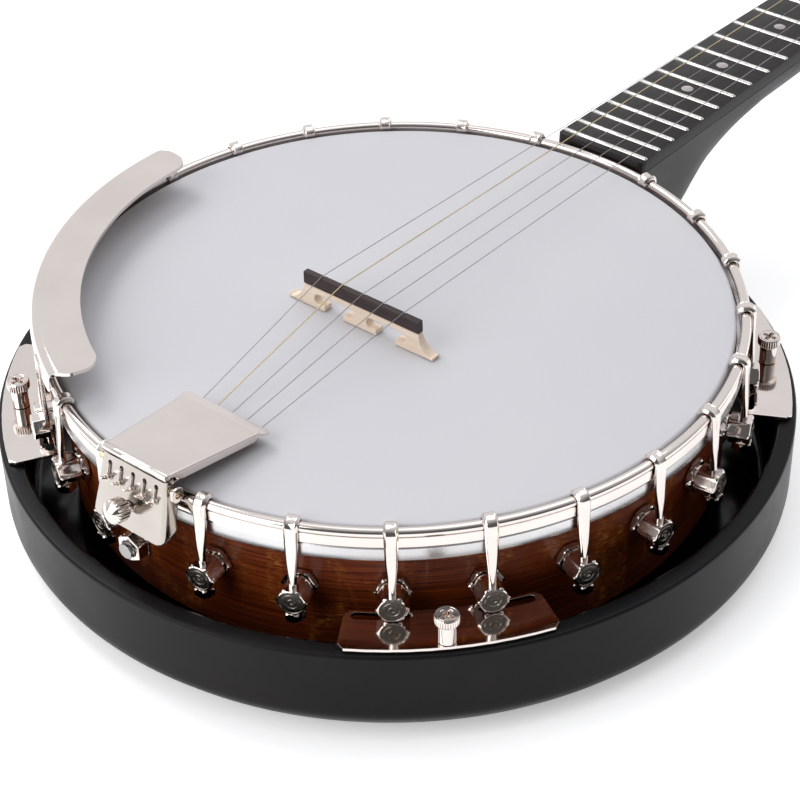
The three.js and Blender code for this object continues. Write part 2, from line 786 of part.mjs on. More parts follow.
// The underside's height along the neck: the heel, its curve and the long grip.
const UNDERSIDE = new THREE.SplineCurve(
  [
    [-12, -70.6],
    [12, -66],
    [28, -60.6],
    [40, -53.4],
    [50, -43],
    [61, -33.6],
    [80, -26.6],
    [104, -23.9],
    [146, -22.8],
    [300, -21.4],
    [476, -19.4],
    [492, -19.4],
  ].map(([y, z]) => new THREE.Vector2(y, z)),
);

// One ring of the neck: a flat top and a rounded belly, squarer at the heel.
function neckRing({ x: y, y: z }) {
  const topZ = -BOARD_THICKNESS - 0.3;
  const squareness = lerp(2.1, 3.1, THREE.MathUtils.smoothstep(y, 5, 40));
  const power = lerp(squareness, 2.3, THREE.MathUtils.smoothstep(y, 60, 120));
  const onTop = [trebleEdge(y), -bassEdge(y)];
  const middle = (onTop[0] + onTop[1]) / 2;
  const half = (onTop[0] - onTop[1]) / 2;
  const count = 14;
  return range(count + 1).map((i) => {
    const t = (Math.PI * i) / count;
    const c = Math.cos(t);
    const x = middle - half * Math.sign(c) * Math.abs(c) ** (2 / power);
    return vec(x, y, topZ + (z - topZ) * Math.sin(t) ** (2 / power));
  });
}

function neckBody() {
  const points = UNDERSIDE.getPoints(33);
  const rings = points.map(neckRing);
  const shank = onNeck(loft(rings.map((r) => [...r].reverse())));
  const keepOut = turned([
    [0, -90],
    [140.9, -90],
    [140.9, BAND_BOTTOM - 0.4],
    [148.7, BAND_BOTTOM - 0.4],
    [148.7, 30],
    [0, 30],
  ]);
  const rodBore = bar(vec(0, 130, ROD_HEIGHT), vec(0, 158, ROD_HEIGHT), COORDINATOR_R + 0.2);
  const boardSeat = onNeck(box(-40, 40, -30, NUT_Y + 5.3, -BOARD_THICKNESS - 0.3, 20));
  const faceSide = onHead(box(-40, 40, -2, 60, 0, 30));
  const blank = cut(join(shank, headstock()), boardSeat, faceSide);
  return cut(blank, keepOut, rodBore, ...postBores(), pegBore());
}

// ---- Headstock ------------------------------------------------------------------------------

// The headstock's own frame: y along it from the nut, height 0 on its face.
const headFrame = neckFrame
  .clone()
  .multiply(new THREE.Matrix4().makeTranslation(0, NUT_Y + 4, -BOARD_THICKNESS - 0.4))
  .multiply(new THREE.Matrix4().makeRotationX(-rad(HEADSTOCK_TILT)));
const onHead = (geometry) => geometry.applyMatrix4(headFrame);

// A plain waisted outline with a double-curved tip.
function headstockOutline() {
  const shape = new THREE.Shape();
  shape.moveTo(-16, -6);
  shape.lineTo(16, -6);
  shape.bezierCurveTo(17, 10, 34, 8, 34, 26);
  shape.bezierCurveTo(34, 60, 27, 90, 31, 122);
  shape.bezierCurveTo(33, 140, 24, 146, 15, 140);
  shape.quadraticCurveTo(8, 156, 0, HEADSTOCK_LENGTH - 6);
  shape.quadraticCurveTo(-8, 156, -15, 140);
  shape.bezierCurveTo(-24, 146, -33, 140, -31, 122);
  shape.bezierCurveTo(-27, 90, -34, 60, -34, 26);
  shape.bezierCurveTo(-34, 8, -17, 10, -16, -6);
  return shape;
}

const headstock = () => onHead(plate(headstockOutline(), -HEADSTOCK_THICKNESS, 0, 6));

// Strings 4, 3, 2 and 1 go to these posts: [x, y] on the headstock's face.
const POSTS = [
  [-19, 36],
  [-18, 92],
  [18, 92],
  [19, 36],
];
const postBores = () =>
  POSTS.map(([x, y]) => onHead(bar(vec(x, y, -20), vec(x, y, 4), 4.3, 12)));
const pegBore = () =>
  onNeck(bar(vec(9 - bassEdge(PEG_Y), ...PEG_AT), vec(-40, ...PEG_AT), 3.7, 12));

add("neck", neckBody(), "neckLacquer");

function trussRodCover() {
  const shape = new THREE.Shape();
  shape.moveTo(-9, 5);
  shape.lineTo(9, 5);
  shape.bezierCurveTo(8, 18, 2.5, 22, 2.5, 30);
  shape.absarc(0, 30, 2.5, 0, Math.PI, false);
  shape.bezierCurveTo(-2.5, 22, -8, 18, -9, 5);
  const screws = [
    [0, 28.5],
    [6, 8],
    [-6, 8],
  ].map(([x, y]) => bar(vec(x, y, 1), vec(x, y, 2.6), 1.3, 8, 0.9));
  return onHead(join(plate(shape, 0.3, 2), ...screws));
}
add("truss_rod_cover", trussRodCover(), "blackLacquer");

// ---- Tuners ---------------------------------------------------------------------------------

// A side tuner is a housing behind the headstock, a string post through it and a knob outside.
const HOUSING_Z = -HEADSTOCK_THICKNESS - 6.4;
POSTS.forEach(([x, y], i) => {
  const side = Math.sign(x);
  const string = 4 - i;
  const shaftY = y - 6.2;
  const body = box(x - 7.5, x + 7.5, y - 11, y + 7, HOUSING_Z - 5.6, HOUSING_Z + 6);
  const neckTube = bar(vec(x + side * 7, shaftY, HOUSING_Z), vec(x + side * 19, shaftY, HOUSING_Z), 3.4, 10);
  const postBore = bar(vec(x, y, HOUSING_Z - 2), vec(x, y, HOUSING_Z + 8), 3.3, 12);
  const shaftBore = bar(
    vec(x - side * 2, shaftY, HOUSING_Z),
    vec(x + side * 20, shaftY, HOUSING_Z),
    2.2,
    10,
  );
  add(`tuner_${string}_housing`, onHead(cut(join(body, neckTube), postBore, shaftBore)), "nickel");

  const post = turned(
    [
      [0, HOUSING_Z - 1],
      [2.9, HOUSING_Z - 1],
      [2.9, 7],
      [3.4, 8],
      [3.4, 11],
      [2.5, 12.6],
      [2.5, 14.2],
      [3.2, 15.6],
      [3.2, 19.2],
      [0, 19.2],
    ],
    10,
  );
  const collar = turned(
    [
      [0, 0.4],
      [6.2, 0.4],
      [5.2, 2.4],
      [0, 2.4],
    ],
    10,
  );
  add(`tuner_${string}_post`, onHead(join(post, collar).translate(x, y, 0)), "nickel");

  const shaft = bar(vec(x, shaftY, HOUSING_Z), vec(x + side * 21.5, shaftY, HOUSING_Z), 1.8, 10);
  const button = turned(
    [
      [0, 0],
      [3.2, 0],
      [4.6, 2],
      [8.4, 6.5],
      [8.8, 11],
      [6.4, 14.6],
      [0, 15.4],
    ],
    14,
  )
    .scale(1, 0.52, 1)
    .rotateY((side * Math.PI) / 2)
    .translate(x + side * 21, shaftY, HOUSING_Z);
  add(`tuner_${string}_knob`, onHead(join(shaft, button)), "nickel");
});

// The geared peg of the short fifth string stands out of the neck's bass side. Its fixed core
// carries the turning post, and the knob is on the far side of the gear case.
function pegPart(profile, sides = 14) {
  return onNeck(
    turned(profile, sides)
      .rotateY(-Math.PI / 2)
      .translate(-bassEdge(PEG_Y), PEG_AT[0], PEG_AT[1]),
  );
}
add(
  "fifth_peg_housing",
  pegPart([
    [0, -8],
    [3.3, -8],
    [3.4, 0.5],
    [5, 0.8],
    [5, 2],
    [1.2, 2],
    [1.2, 12.4],
    [6.4, 12.4],
    [7.2, 13.6],
    [7.2, 20],
    [5.6, 22],
    [1.9, 22],
    [1.9, 19],
    [0, 19],
  ]),
  "nickel",
);
add(
  "fifth_peg_post",
  (() => {
    const profile = [
      [1.5, 2.4],
      [3.6, 2.4],
      [2.6, 4.6],
      [2.6, 8.6],
      [3.6, 12],
      [1.5, 12],
    ];
    return pegPart([...profile, profile[0]]);
  })(),
  "nickel",
);
add(
  "fifth_peg_knob",
  pegPart([
    [0, 19.4],
    [1.5, 19.4],
    [1.5, 22.5],
    [3.4, 22.6],
    [4.4, 25],
    [8.2, 29],
    [8.8, 33],
    [6.6, 37],
    [0, 37.6],
  ]),
  "pearl",
);

// A small pin on the board holds the fifth string up where it starts.
const PIP = [-15.9, PEG_Y + 3.4];
add("fifth_string_pip", onNeck(bar(vec(PIP[0], PIP[1], 0.3), vec(PIP[0], PIP[1], 2.1), 1.3, 10)), "bone");

// ---- Strings --------------------------------------------------------------------------------

// Radius of the plain strings, and of the wound fourth.
const PLAIN_R = 0.16;
const WOUND_R = 0.29;
const NUT_STRING_X = [-12.3, -4.1, 4.1, 12.3];
const LOOP_Z = 7.95;

// From the tailpiece's loop, under the cover, over the lip and the bridge.
function tailRoute(index, radius) {
  const pin = PIN_X[index];
  const bridgeX = (index - 2) * STRING_SPACING;
  const lipX = lerp(pin, bridgeX, 0.33);
  return [
    vec(pin, -154.6, LOOP_Z),
    vec(lerp(pin, lipX, 0.5), -130, 6 + radius),
    vec(lipX, LIP_Y - 0.2, 2.95 + radius),
    vec(bridgeX, BRIDGE_Y, BRIDGE_TOP + 0.35 + radius),
  ];
}

POSTS.forEach(([x, y], i) => {
  const string = 4 - i;
  const radius = string === 4 ? WOUND_R : PLAIN_R;
  const nutPoint = neckPoint(NUT_STRING_X[i], NUT_Y + 2.6, 1.7 + radius);
  const inside = x > 0 ? -1 : 1;
  const postPoint = vec(x + inside * (2.9 + radius), y - 1, 13.4).applyMatrix4(headFrame);
  const route = [...tailRoute(i + 1, radius), nutPoint, postPoint];
  add(`string_${string}`, strand(route, radius, 6), string === 4 ? "brass" : "steel");
});

function fifthString() {
  const pip = neckPoint(PIP[0], PIP[1], 2.5 + PLAIN_R);
  const post = neckPoint(-bassEdge(PEG_Y) - 6.4, PEG_AT[0] - 1.2, PEG_AT[1] + 3.5 + PLAIN_R);
  const edge = neckPoint(-bassEdge(PEG_Y) - 0.7, PIP[1] + 2, 0.8);
  return strand([...tailRoute(0, PLAIN_R), pip, edge, post], PLAIN_R, 6);
}
add("string_5", fifthString(), "steel");

export default banjo;
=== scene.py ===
# %% [markdown]
# # A five-string banjo with a resonator
# A banjo is a small drum with a neck. This lesson dresses the measured model of one: the big
# mechanical pieces are already the right size, and each step here gives one of them the shape
# that the eye expects, such as knurling, rounded edges and grain.
#
# The frame is loaded first. Every piece is then given in millimetres, with heights counted from
# the drum head, because the head is the surface that a banjo maker measures from.

# %% Load the frame
import math

import bmesh
import bpy
import numpy as np
from mathutils import Matrix, Vector


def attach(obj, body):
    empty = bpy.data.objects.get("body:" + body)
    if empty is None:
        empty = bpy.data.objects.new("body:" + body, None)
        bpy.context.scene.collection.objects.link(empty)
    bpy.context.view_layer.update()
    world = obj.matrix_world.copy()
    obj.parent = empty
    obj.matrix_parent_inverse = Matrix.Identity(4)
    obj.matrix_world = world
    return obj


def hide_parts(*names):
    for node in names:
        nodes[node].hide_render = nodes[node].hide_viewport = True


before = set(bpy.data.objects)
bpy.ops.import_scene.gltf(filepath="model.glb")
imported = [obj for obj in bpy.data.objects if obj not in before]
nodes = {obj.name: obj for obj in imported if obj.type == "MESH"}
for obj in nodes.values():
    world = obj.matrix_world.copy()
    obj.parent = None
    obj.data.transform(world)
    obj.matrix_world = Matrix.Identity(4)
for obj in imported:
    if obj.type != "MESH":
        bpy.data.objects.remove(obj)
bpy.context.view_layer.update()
MM = 0.001
HEAD = 84.0  # the drum head's height above the resonator's flat back, in mm

# %% [markdown]
# ## Camera, light and floor
# The camera comes first, so that every later step can be judged through it. It looks down on the
# tail of the pot with a long lens, which keeps the round hoop from being stretched. A polished
# instrument shows its surroundings. So the room is pale on the far side, which the flat metal
# sheets mirror, and fades to dark behind the camera, which puts dark edges on the round metal.
# Three soft lamps stand on the armrest side, overhead and in front. The floor glows a little,
# as a lit studio sweep does, so that the shadow on it stays pale.

# %% The camera
camera_data = bpy.data.cameras.new("camera")
camera_data.lens = 98.26
camera_data.sensor_width = 36.0
camera_data.clip_end = 50.0
camera = bpy.data.objects.new("camera", camera_data)
bpy.context.scene.collection.objects.link(camera)
camera_right = Vector((0.7765, 0.6298, -0.0199)).normalized()
camera_forward = Vector((-0.5090, 0.6082, -0.6092)).normalized()
camera_up = camera_right.cross(camera_forward).normalized()
turn = Matrix((camera_right, camera_up, -camera_forward)).transposed().to_4x4()
camera.matrix_world = Matrix.Translation((0.4819, -0.5738, 0.6086)) @ turn
bpy.context.scene.camera = camera
print("lens", camera_data.lens, "mm, camera at", tuple(round(v, 3) for v in camera.location))

# %% Lamps, room and floor
scene = bpy.context.scene
scene.view_settings.view_transform = "Standard"
world = bpy.data.worlds.new("pale room")
scene.world = world
world.use_nodes = True
room = world.node_tree.nodes["Background"]
room.inputs["Color"].default_value = (0.97, 0.98, 1.0, 1.0)
sky = world.node_tree.nodes.new("ShaderNodeTexCoord")
facing = world.node_tree.nodes.new("ShaderNodeVectorMath")
facing.operation = "DOT_PRODUCT"
facing.inputs[1].default_value = Vector((-0.6, 0.6, 0.53)).normalized()
glow = world.node_tree.nodes.new("ShaderNodeMapRange")
for number, value in enumerate((-0.4, 0.5, 0.12, 0.92), start=1):
    glow.inputs[number].default_value = value
world.node_tree.links.new(sky.outputs["Generated"], facing.inputs[0])
world.node_tree.links.new(facing.outputs["Value"], glow.inputs[0])
world.node_tree.links.new(glow.outputs[0], room.inputs["Strength"])

POT_MIDDLE = Vector((0.0, 0.0, 0.06))


def lamp(name, place, size, power):
    """A square soft lamp at place, in metres, that faces the middle of the pot."""
    data = bpy.data.lights.new(name, "AREA")
    data.size = size
    data.energy = power
    light = bpy.data.objects.new(name, data)
    scene.collection.objects.link(light)
    light.location = place
    aim = POT_MIDDLE - Vector(place)
    light.rotation_euler = aim.to_track_quat("-Z", "Y").to_euler()


lamp("key_softbox", (-1.1, 0.1, 1.35), 0.7, 9.0)
lamp("overhead_softbox", (0.1, 0.5, 1.9), 1.6, 6.0)
lamp("front_softbox", (-0.5, -1.7, 0.95), 1.6, 21.0)

floor_data = bpy.data.meshes.new("floor")
floor_data.from_pydata([(-6, -6, 0), (6, -6, 0), (6, 6, 0), (-6, 6, 0)], [], [(0, 1, 2, 3)])
floor = bpy.data.objects.new("floor", floor_data)
scene.collection.objects.link(floor)
floor_paint = bpy.data.materials.new("studio_floor")
floor_paint.use_nodes = True
paint = floor_paint.node_tree.nodes["Principled BSDF"].inputs
paint["Base Color"].default_value = (0.95, 0.95, 0.95, 1)
paint["Roughness"].default_value = 0.8
paint["Emission Color"].default_value = (1, 1, 1, 1)
paint["Emission Strength"].default_value = 0.36
floor_data.materials.append(floor_paint)
print("three lamps and a pale floor")

# %% [markdown]
# ## Effects that several finishes share Real surfaces are never one flat value. Three small node
# groups carry what most finishes here need: handling marks (soft patches and hairline scratches),
# wood figure (streaks, pores and golden flecks) and frosting (the fine tooth of a sprayed drum
# head). A group puts out only masks and heights, and each material decides what colour or gloss
# they stand for.

# %% Node group helper
def effect(name, inputs, outputs):
    """An empty shader group with float or vector inputs and float outputs."""
    tree = bpy.data.node_groups.new(name, "ShaderNodeTree")
    for label, kind, value in inputs:
        socket = tree.interface.new_socket(name=label, in_out="INPUT", socket_type=kind)
        if value is not None:
            socket.default_value = value
    for label in outputs:
        tree.interface.new_socket(name=label, in_out="OUTPUT", socket_type="NodeSocketFloat")
    return tree, tree.nodes.new("NodeGroupInput"), tree.nodes.new("NodeGroupOutput")


def node(tree, kind, links=(), **values):
    """A node of that kind with its inputs set by name and linked from other sockets."""
    made = tree.nodes.new(kind)
    for key, value in values.items():
        if hasattr(made, key):
            setattr(made, key, value)
        else:
            made.inputs[key.replace("_", " ")].default_value = value
    for socket, source in links:
        tree.links.new(source, made.inputs[socket])
    return made


def stretch(tree, vector, scale):
    """The vector multiplied by a fixed (x, y, z)."""
    made = node(tree, "ShaderNodeVectorMath", [(0, vector)], operation="MULTIPLY")
    made.inputs[1].default_value = scale
    return made.outputs[0]


def remap(tree, value, low, high, to_low=0.0, to_high=1.0):
    """The value carried from low..high to to_low..to_high, and held at the ends."""
    made = node(tree, "ShaderNodeMapRange", [(0, value)])
    for index, number in enumerate((low, high, to_low, to_high), start=1):
        made.inputs[index].default_value = number
    return made.outputs[0]


def noise(tree, vector, scale=1.0, detail=2.0, distortion=0.0):
    """The value of a noise texture over the vector, 0 to 1."""
    made = node(tree, "ShaderNodeTexNoise", [("Vector", vector)], Scale=scale, Detail=detail)
    made.inputs["Distortion"].default_value = distortion
    return made.outputs[0]


# %% The three effects
marks, marks_in, marks_out = effect(
    "handling_marks", [("Vector", "NodeSocketVector", None)], ["Patches", "Hairlines"]
)
spot = marks_in.outputs[0]
patch_noise = noise(marks, spot, 34.0, 4.0)
hair_noise = noise(marks, stretch(marks, spot, (260.0, 2600.0, 900.0)))
marks.links.new(remap(marks, patch_noise, 0.36, 0.66), marks_out.inputs["Patches"])
marks.links.new(remap(marks, hair_noise, 0.62, 0.74), marks_out.inputs["Hairlines"])

figure, figure_in, figure_out = effect(
    "wood_figure", [("Vector", "NodeSocketVector", None)], ["Streaks", "Pores", "Flecks"]
)
along_grain = figure_in.outputs[0]
streak_noise = noise(figure, stretch(figure, along_grain, (1100.0, 26.0, 1100.0)), 1.0, 6.0, 0.5)
pore_noise = noise(figure, stretch(figure, along_grain, (3200.0, 260.0, 3200.0)))
ribbon_noise = noise(figure, stretch(figure, along_grain, (20.0, 48.0, 20.0)), 1.0, 3.0, 1.2)
figure.links.new(remap(figure, streak_noise, 0.34, 0.68), figure_out.inputs["Streaks"])
figure.links.new(remap(figure, pore_noise, 0.6, 0.72), figure_out.inputs["Pores"])
ribbon = remap(figure, ribbon_noise, 0.5, 0.66)
pores = remap(figure, pore_noise, 0.52, 0.62)
flecks = node(figure, "ShaderNodeMath", [(0, ribbon), (1, pores)], operation="MULTIPLY")
figure.links.new(flecks.outputs[0], figure_out.inputs["Flecks"])

frosting, frosting_in, frosting_out = effect(
    "frosting", [("Vector", "NodeSocketVector", None)], ["Tooth", "Clouds"]
)
tooth_noise = noise(frosting, frosting_in.outputs[0], 1500.0, 3.0)
cloud_noise = noise(frosting, frosting_in.outputs[0], 9.0, 4.0)
frosting.links.new(tooth_noise, frosting_out.inputs["Tooth"])
frosting.links.new(remap(frosting, cloud_noise, 0.3, 0.7), frosting_out.inputs["Clouds"])
print("effects:", marks.name, figure.name, frosting.name)

# %% [markdown]
# ## Finishes
# One helper lays out every finish the same way: an effect's mask blends two colours, a mask
# moves the roughness between two values, and a height gives a little relief. What never varies
# over the surface, such as how metallic it is or its clear coat, is set on the shader's socket.

# %% A finish from an effect
slot_of = {}


def finish(name, effect_tree, mask, colours, roughness, rough_mask=None, relief=None, depth=0.0,
           metallic=0.0, coat=0.0, coat_roughness=0.05, specular=0.5, uv=None, dark=None,
           turn_to=None,
           slot="nickel_plate"):
    """A material whose colour blends colours[0] to colours[1] by mask, and roughness likewise.

    relief names the output used as a bump height of that depth in metres; dark is a (mask,
    colour) pair laid over the blend; uv names a UV map used in place of object coordinates;
    slot is the measured model's finish that the material stands for.
    """
    material = bpy.data.materials.new(name)
    material.use_nodes = True
    tree = material.node_tree
    shader = tree.nodes["Principled BSDF"]
    if uv:
        source = node(tree, "ShaderNodeUVMap")
        source.uv_map = uv
        vector = source.outputs["UV"]
    else:
        vector = tree.nodes.new("ShaderNodeTexCoord").outputs["Object"]
    if turn_to:
        mapping = node(tree, "ShaderNodeMapping", [("Vector", vector)])
        mapping.inputs["Rotation"].default_value = turn_to
        vector = mapping.outputs["Vector"]
    group = tree.nodes.new("ShaderNodeGroup")
    group.node_tree = effect_tree
    tree.links.new(vector, group.inputs["Vector"])
    blend = node(tree, "ShaderNodeMix", data_type="RGBA")
    tree.links.new(group.outputs[mask], blend.inputs[0])
    blend.inputs[6].default_value = (*colours[0], 1.0)
    blend.inputs[7].default_value = (*colours[1], 1.0)
    colour = blend.outputs[2]
    if dark:
        over = node(tree, "ShaderNodeMix", data_type="RGBA")
        tree.links.new(group.outputs[dark[0]], over.inputs[0])
        tree.links.new(colour, over.inputs[6])
        over.inputs[7].default_value = (*dark[1], 1.0)
        colour = over.outputs[2]
    tree.links.new(colour, shader.inputs["Base Color"])
    gloss = remap(tree, group.outputs[rough_mask or mask], 0.0, 1.0, *roughness)
    tree.links.new(gloss, shader.inputs["Roughness"])
    if relief:
        bump = node(tree, "ShaderNodeBump", [("Height", group.outputs[relief])])
        bump.inputs["Strength"].default_value = 1.0
        bump.inputs["Distance"].default_value = depth
        tree.links.new(bump.outputs["Normal"], shader.inputs["Normal"])
    shader.inputs["Metallic"].default_value = metallic
    shader.inputs["Coat Weight"].default_value = coat
    shader.inputs["Coat Roughness"].default_value = coat_roughness
    shader.inputs["Specular IOR Level"].default_value = specular
    slot_of[material.name] = slot
    return material


def metal(name, light, dull, roughness, depth, slot="nickel_plate"):
    """A metal whose handled patches are duller, with hairline scratches of that depth."""
    return finish(name, marks, "Patches", [light, dull], roughness, relief="Hairlines",
                  depth=depth, metallic=1.0, slot=slot)


def lacquer(name, thin, thick, roughness, depth, specular, slot):
    """A dark lacquer with handling patches and hairline scratches."""
    return finish(name, marks, "Patches", [thin, thick], roughness, relief="Hairlines",
                  depth=depth, specular=specular, slot=slot)


# %% The banjo's finishes
nickel = metal("polished_nickel", (0.77, 0.70, 0.665), (0.72, 0.65, 0.61), (0.05, 0.12), 2e-6)
# A copy of the nickel for the tailpiece's rear plate: a little rougher, and its darker colour is
# painted shade.
rough_shaded_nickel = metal("rough_nickel_painted_shade", (0.50, 0.465, 0.43), (0.43, 0.395, 0.36), (0.1, 0.18),
                    3e-6)
turned_nickel = metal("turned_nickel_end", (0.26, 0.235, 0.21), (0.17, 0.15, 0.13), (0.2, 0.34),
                      6e-6)
fret_metal = metal("fret_nickel", (0.7, 0.685, 0.66), (0.62, 0.6, 0.575), (0.14, 0.24), 3e-6)
band_metal = metal("bright_aluminium", (0.69, 0.68, 0.69), (0.61, 0.60, 0.61), (0.22, 0.32), 4e-6,
                   "band_aluminium")
bell_metal = metal("bell_brass", (0.7, 0.52, 0.25), (0.6, 0.42, 0.2), (0.2, 0.34), 4e-6,
                   "bell_brass")
plain_steel = metal("bright_steel", (0.36, 0.35, 0.345), (0.28, 0.27, 0.27), (0.16, 0.28), 3e-6,
                    "plain_steel")
wound_bronze = metal("wound_bronze", (0.66, 0.53, 0.33), (0.56, 0.44, 0.25), (0.2, 0.3), 1e-5,
                     "wound_bronze")

satin_black = lacquer("satin_black_lacquer", (0.0055, 0.0055, 0.0065), (0.01, 0.0085, 0.0085),
                      (0.32, 0.42), 4e-6, 0.12, "resonator_lacquer")
gloss_black = lacquer("gloss_black_lacquer", (0.0015, 0.0015, 0.002), (0.003, 0.0028, 0.003),
                      (0.1, 0.18), 4e-6, 0.3, "resonator_lacquer")
neck_black = lacquer("satin_neck_lacquer", (0.022, 0.022, 0.023), (0.03, 0.029, 0.029),
                     (0.38, 0.48), 5e-6, 0.3, "neck_lacquer")
bone = lacquer("polished_bone", (0.78, 0.74, 0.63), (0.85, 0.82, 0.72), (0.25, 0.4), 5e-6, 0.5,
               "bone")

QUARTER_TURN = (0.0, 0.0, math.pi / 2)  # lays the grain across the pot, along the bridge
mahogany = finish("gloss_mahogany", figure, "Streaks", [(0.05, 0.007, 0.002), (0.19, 0.035, 0.006)],
                  (0.3, 0.42), dark=("Flecks", (0.46, 0.17, 0.03)), relief="Pores", depth=-3e-5,
                  coat=0.15, coat_roughness=0.08, specular=0.2, uv="grain", slot="rim_mahogany")
board_wood = finish("dark_fretboard_wood", figure, "Streaks",
                    [(0.006, 0.005, 0.005), (0.018, 0.013, 0.012)],
                    (0.4, 0.56), rough_mask="Pores", dark=("Pores", (0.006, 0.005, 0.005)),
                    relief="Pores", depth=-4e-5, specular=0.25, slot="fretboard_rosewood")
maple = finish("bare_maple", figure, "Streaks", [(0.74, 0.59, 0.46), (0.84, 0.70, 0.57)],
               (0.45, 0.6),
               relief="Pores", depth=-1e-5, turn_to=QUARTER_TURN, slot="maple")
ebony = finish("polished_ebony", figure, "Streaks", [(0.022, 0.013, 0.013), (0.056, 0.034, 0.034)],
               (0.34, 0.5), dark=("Pores", (0.006, 0.004, 0.004)), relief="Pores", depth=-3e-5,
               specular=0.3, turn_to=QUARTER_TURN, slot="ebony")
film = finish("frosted_film", frosting, "Clouds", [(0.52, 0.515, 0.545), (0.545, 0.54, 0.565)],
              (0.46, 0.6), relief="Tooth", depth=2e-5, specular=0.35, slot="frosted_film")
pearl = finish("pearl_inlay", frosting, "Clouds", [(0.32, 0.27, 0.265), (0.42, 0.37, 0.36)],
               (0.15, 0.3), relief="Tooth", depth=3e-6, coat=0.6, slot="pearl")
print("finishes:", ", ".join(m.name for m in bpy.data.materials if m != floor_paint))

# %% [markdown]
# ## How a piece is made
# Most parts of a banjo are turned, bent or drawn, so they are surfaces of two parameters: one
# runs round or across the piece, the other along it. `grid_faces` computes the faces of such a grid
# once, and `add_piece` puts points and faces into a mesh with from_pydata, sets smooth shading
# with sharp edges by angle, and makes the piece ride on the body it belongs to.

# %% Grids and pieces
def grid_faces(rows, columns, wrap_rows=False, wrap_columns=True, caps=False):
    """Quads between neighbouring rows and columns; caps closes the first and last row."""
    r = np.arange(rows if wrap_rows else rows - 1)[:, None]
    c = np.arange(columns if wrap_columns else columns - 1)[None, :]
    here, across = r * columns + c, r * columns + (c + 1) % columns
    above, above_across = (r + 1) % rows * columns + c, (r + 1) % rows * columns + (c + 1) % columns
    faces = np.stack([here, across, above_across, above], -1).reshape(-1, 4).tolist()
    if caps:
        faces.append(list(range(columns))[::-1])
        faces.append(list(range((rows - 1) * columns, rows * columns)))
    return faces


def add_piece(name, points, faces, material, body="instrument", stands_for=None, slot=None,
              sharp=32, closed=True):
    """Points in mm, heights from the head, become a named piece on a body.

    closed is False for an open sheet, whose faces keep the side that they were given.
    """
    mesh = bpy.data.meshes.new(name)
    place = np.asarray(points, float).reshape(-1, 3) * MM
    place[:, 2] += HEAD * MM
    mesh.from_pydata(place.tolist(), [], faces)
    work = bmesh.new()
    work.from_mesh(mesh)
    bmesh.ops.remove_doubles(work, verts=work.verts, dist=2e-7)
    if closed:
        bmesh.ops.recalc_face_normals(work, faces=work.faces)
    work.to_mesh(mesh)
    work.free()
    mesh.shade_smooth()
    mesh.set_sharp_from_angle(angle=math.radians(sharp))
    mesh.materials.append(material)
    made = bpy.data.objects.new(name, mesh)
    scene.collection.objects.link(made)
    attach(made, body)
    if stands_for:
        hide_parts(stands_for)
    return made


def add_grid(name, rings, material, caps=False, wrap_rows=False, wrap_columns=True, **details):
    """A grid of points, rings by columns, becomes a named piece."""
    rings = np.asarray(rings, float)
    faces = grid_faces(len(rings), rings.shape[1], wrap_rows, wrap_columns, caps)
    return add_piece(name, rings, faces, material, **details)


def modifier(piece, kind, **settings):
    """A modifier on the piece with those settings."""
    made = piece.modifiers.new(kind.lower(), kind)
    for key, value in settings.items():
        setattr(made, key, value)
    return made


def round_edges(piece, width, segments=2, angle=35):
    """A small bevel along edges sharper than the angle, as a polished part has."""
    modifier(piece, "BEVEL", width=width * MM, segments=segments, limit_method="ANGLE",
             angle_limit=math.radians(angle), harden_normals=True)


# %% Turning, placing and copying
def turned(profile, sides=96, teeth=0):
    """A profile of (radius, height[, knurl depth]) carried round the z axis.

    Where the knurl depth is set, the radius drops by depth * (1 - |cos(teeth * angle / 2)|).
    """
    profile = np.array([list(row) + [0.0] * (3 - len(row)) for row in profile], float)
    angle = np.linspace(0.0, 2 * np.pi, sides, endpoint=False)
    ripple = 1.0 - np.abs(np.cos(teeth * angle / 2))
    radius = np.maximum(profile[:, :1] - profile[:, 2:] * ripple[None, :], 0.0)
    height = np.repeat(profile[:, 1:2], sides, axis=1)
    return np.stack([radius * np.cos(angle), radius * np.sin(angle), height], -1)


def carried(points, origin, axis):
    """Points carried from the z axis to another axis through origin."""
    z = np.array(axis, float) / np.linalg.norm(axis)
    x = np.cross([0.0, 0.0, 1.0], z)
    x = np.array([1.0, 0.0, 0.0]) if np.linalg.norm(x) < 1e-6 else x / np.linalg.norm(x)
    y = np.cross(z, x)
    return np.asarray(origin, float) + np.asarray(points) @ np.stack([x, y, z])


def at_bearing(points, degrees):
    """Points made facing the neck, turned to a bearing round the pot."""
    a = math.radians(degrees)
    turn = np.array([[math.cos(a), -math.sin(a), 0], [math.sin(a), math.cos(a), 0], [0, 0, 1]])
    return np.asarray(points) @ turn


def tube(path, radius, sides=10):
    """Rings of a round section along a path of (n, 3) points, on a frame that never twists."""
    path = np.asarray(path, float)
    tangent = np.gradient(path, axis=0)
    tangent /= np.linalg.norm(tangent, axis=1)[:, None]
    side = np.cross(tangent[0], [0.0, 0.0, 1.0])
    side = np.array([1.0, 0, 0]) if np.linalg.norm(side) < 1e-3 else side
    sides_of = []
    for t in tangent:
        side = side - side.dot(t) * t
        side /= np.linalg.norm(side)
        sides_of.append(side)
    across = np.array(sides_of)
    over = np.cross(tangent, across)
    angle = np.linspace(0, 2 * np.pi, sides, endpoint=False)
    radius = np.broadcast_to(np.asarray(radius, float), (len(path),))[:, None, None]
    ring = (across[:, None, :] * np.cos(angle)[None, :, None]
            + over[:, None, :] * np.sin(angle)[None, :, None])
    return path[:, None, :] + radius * ring


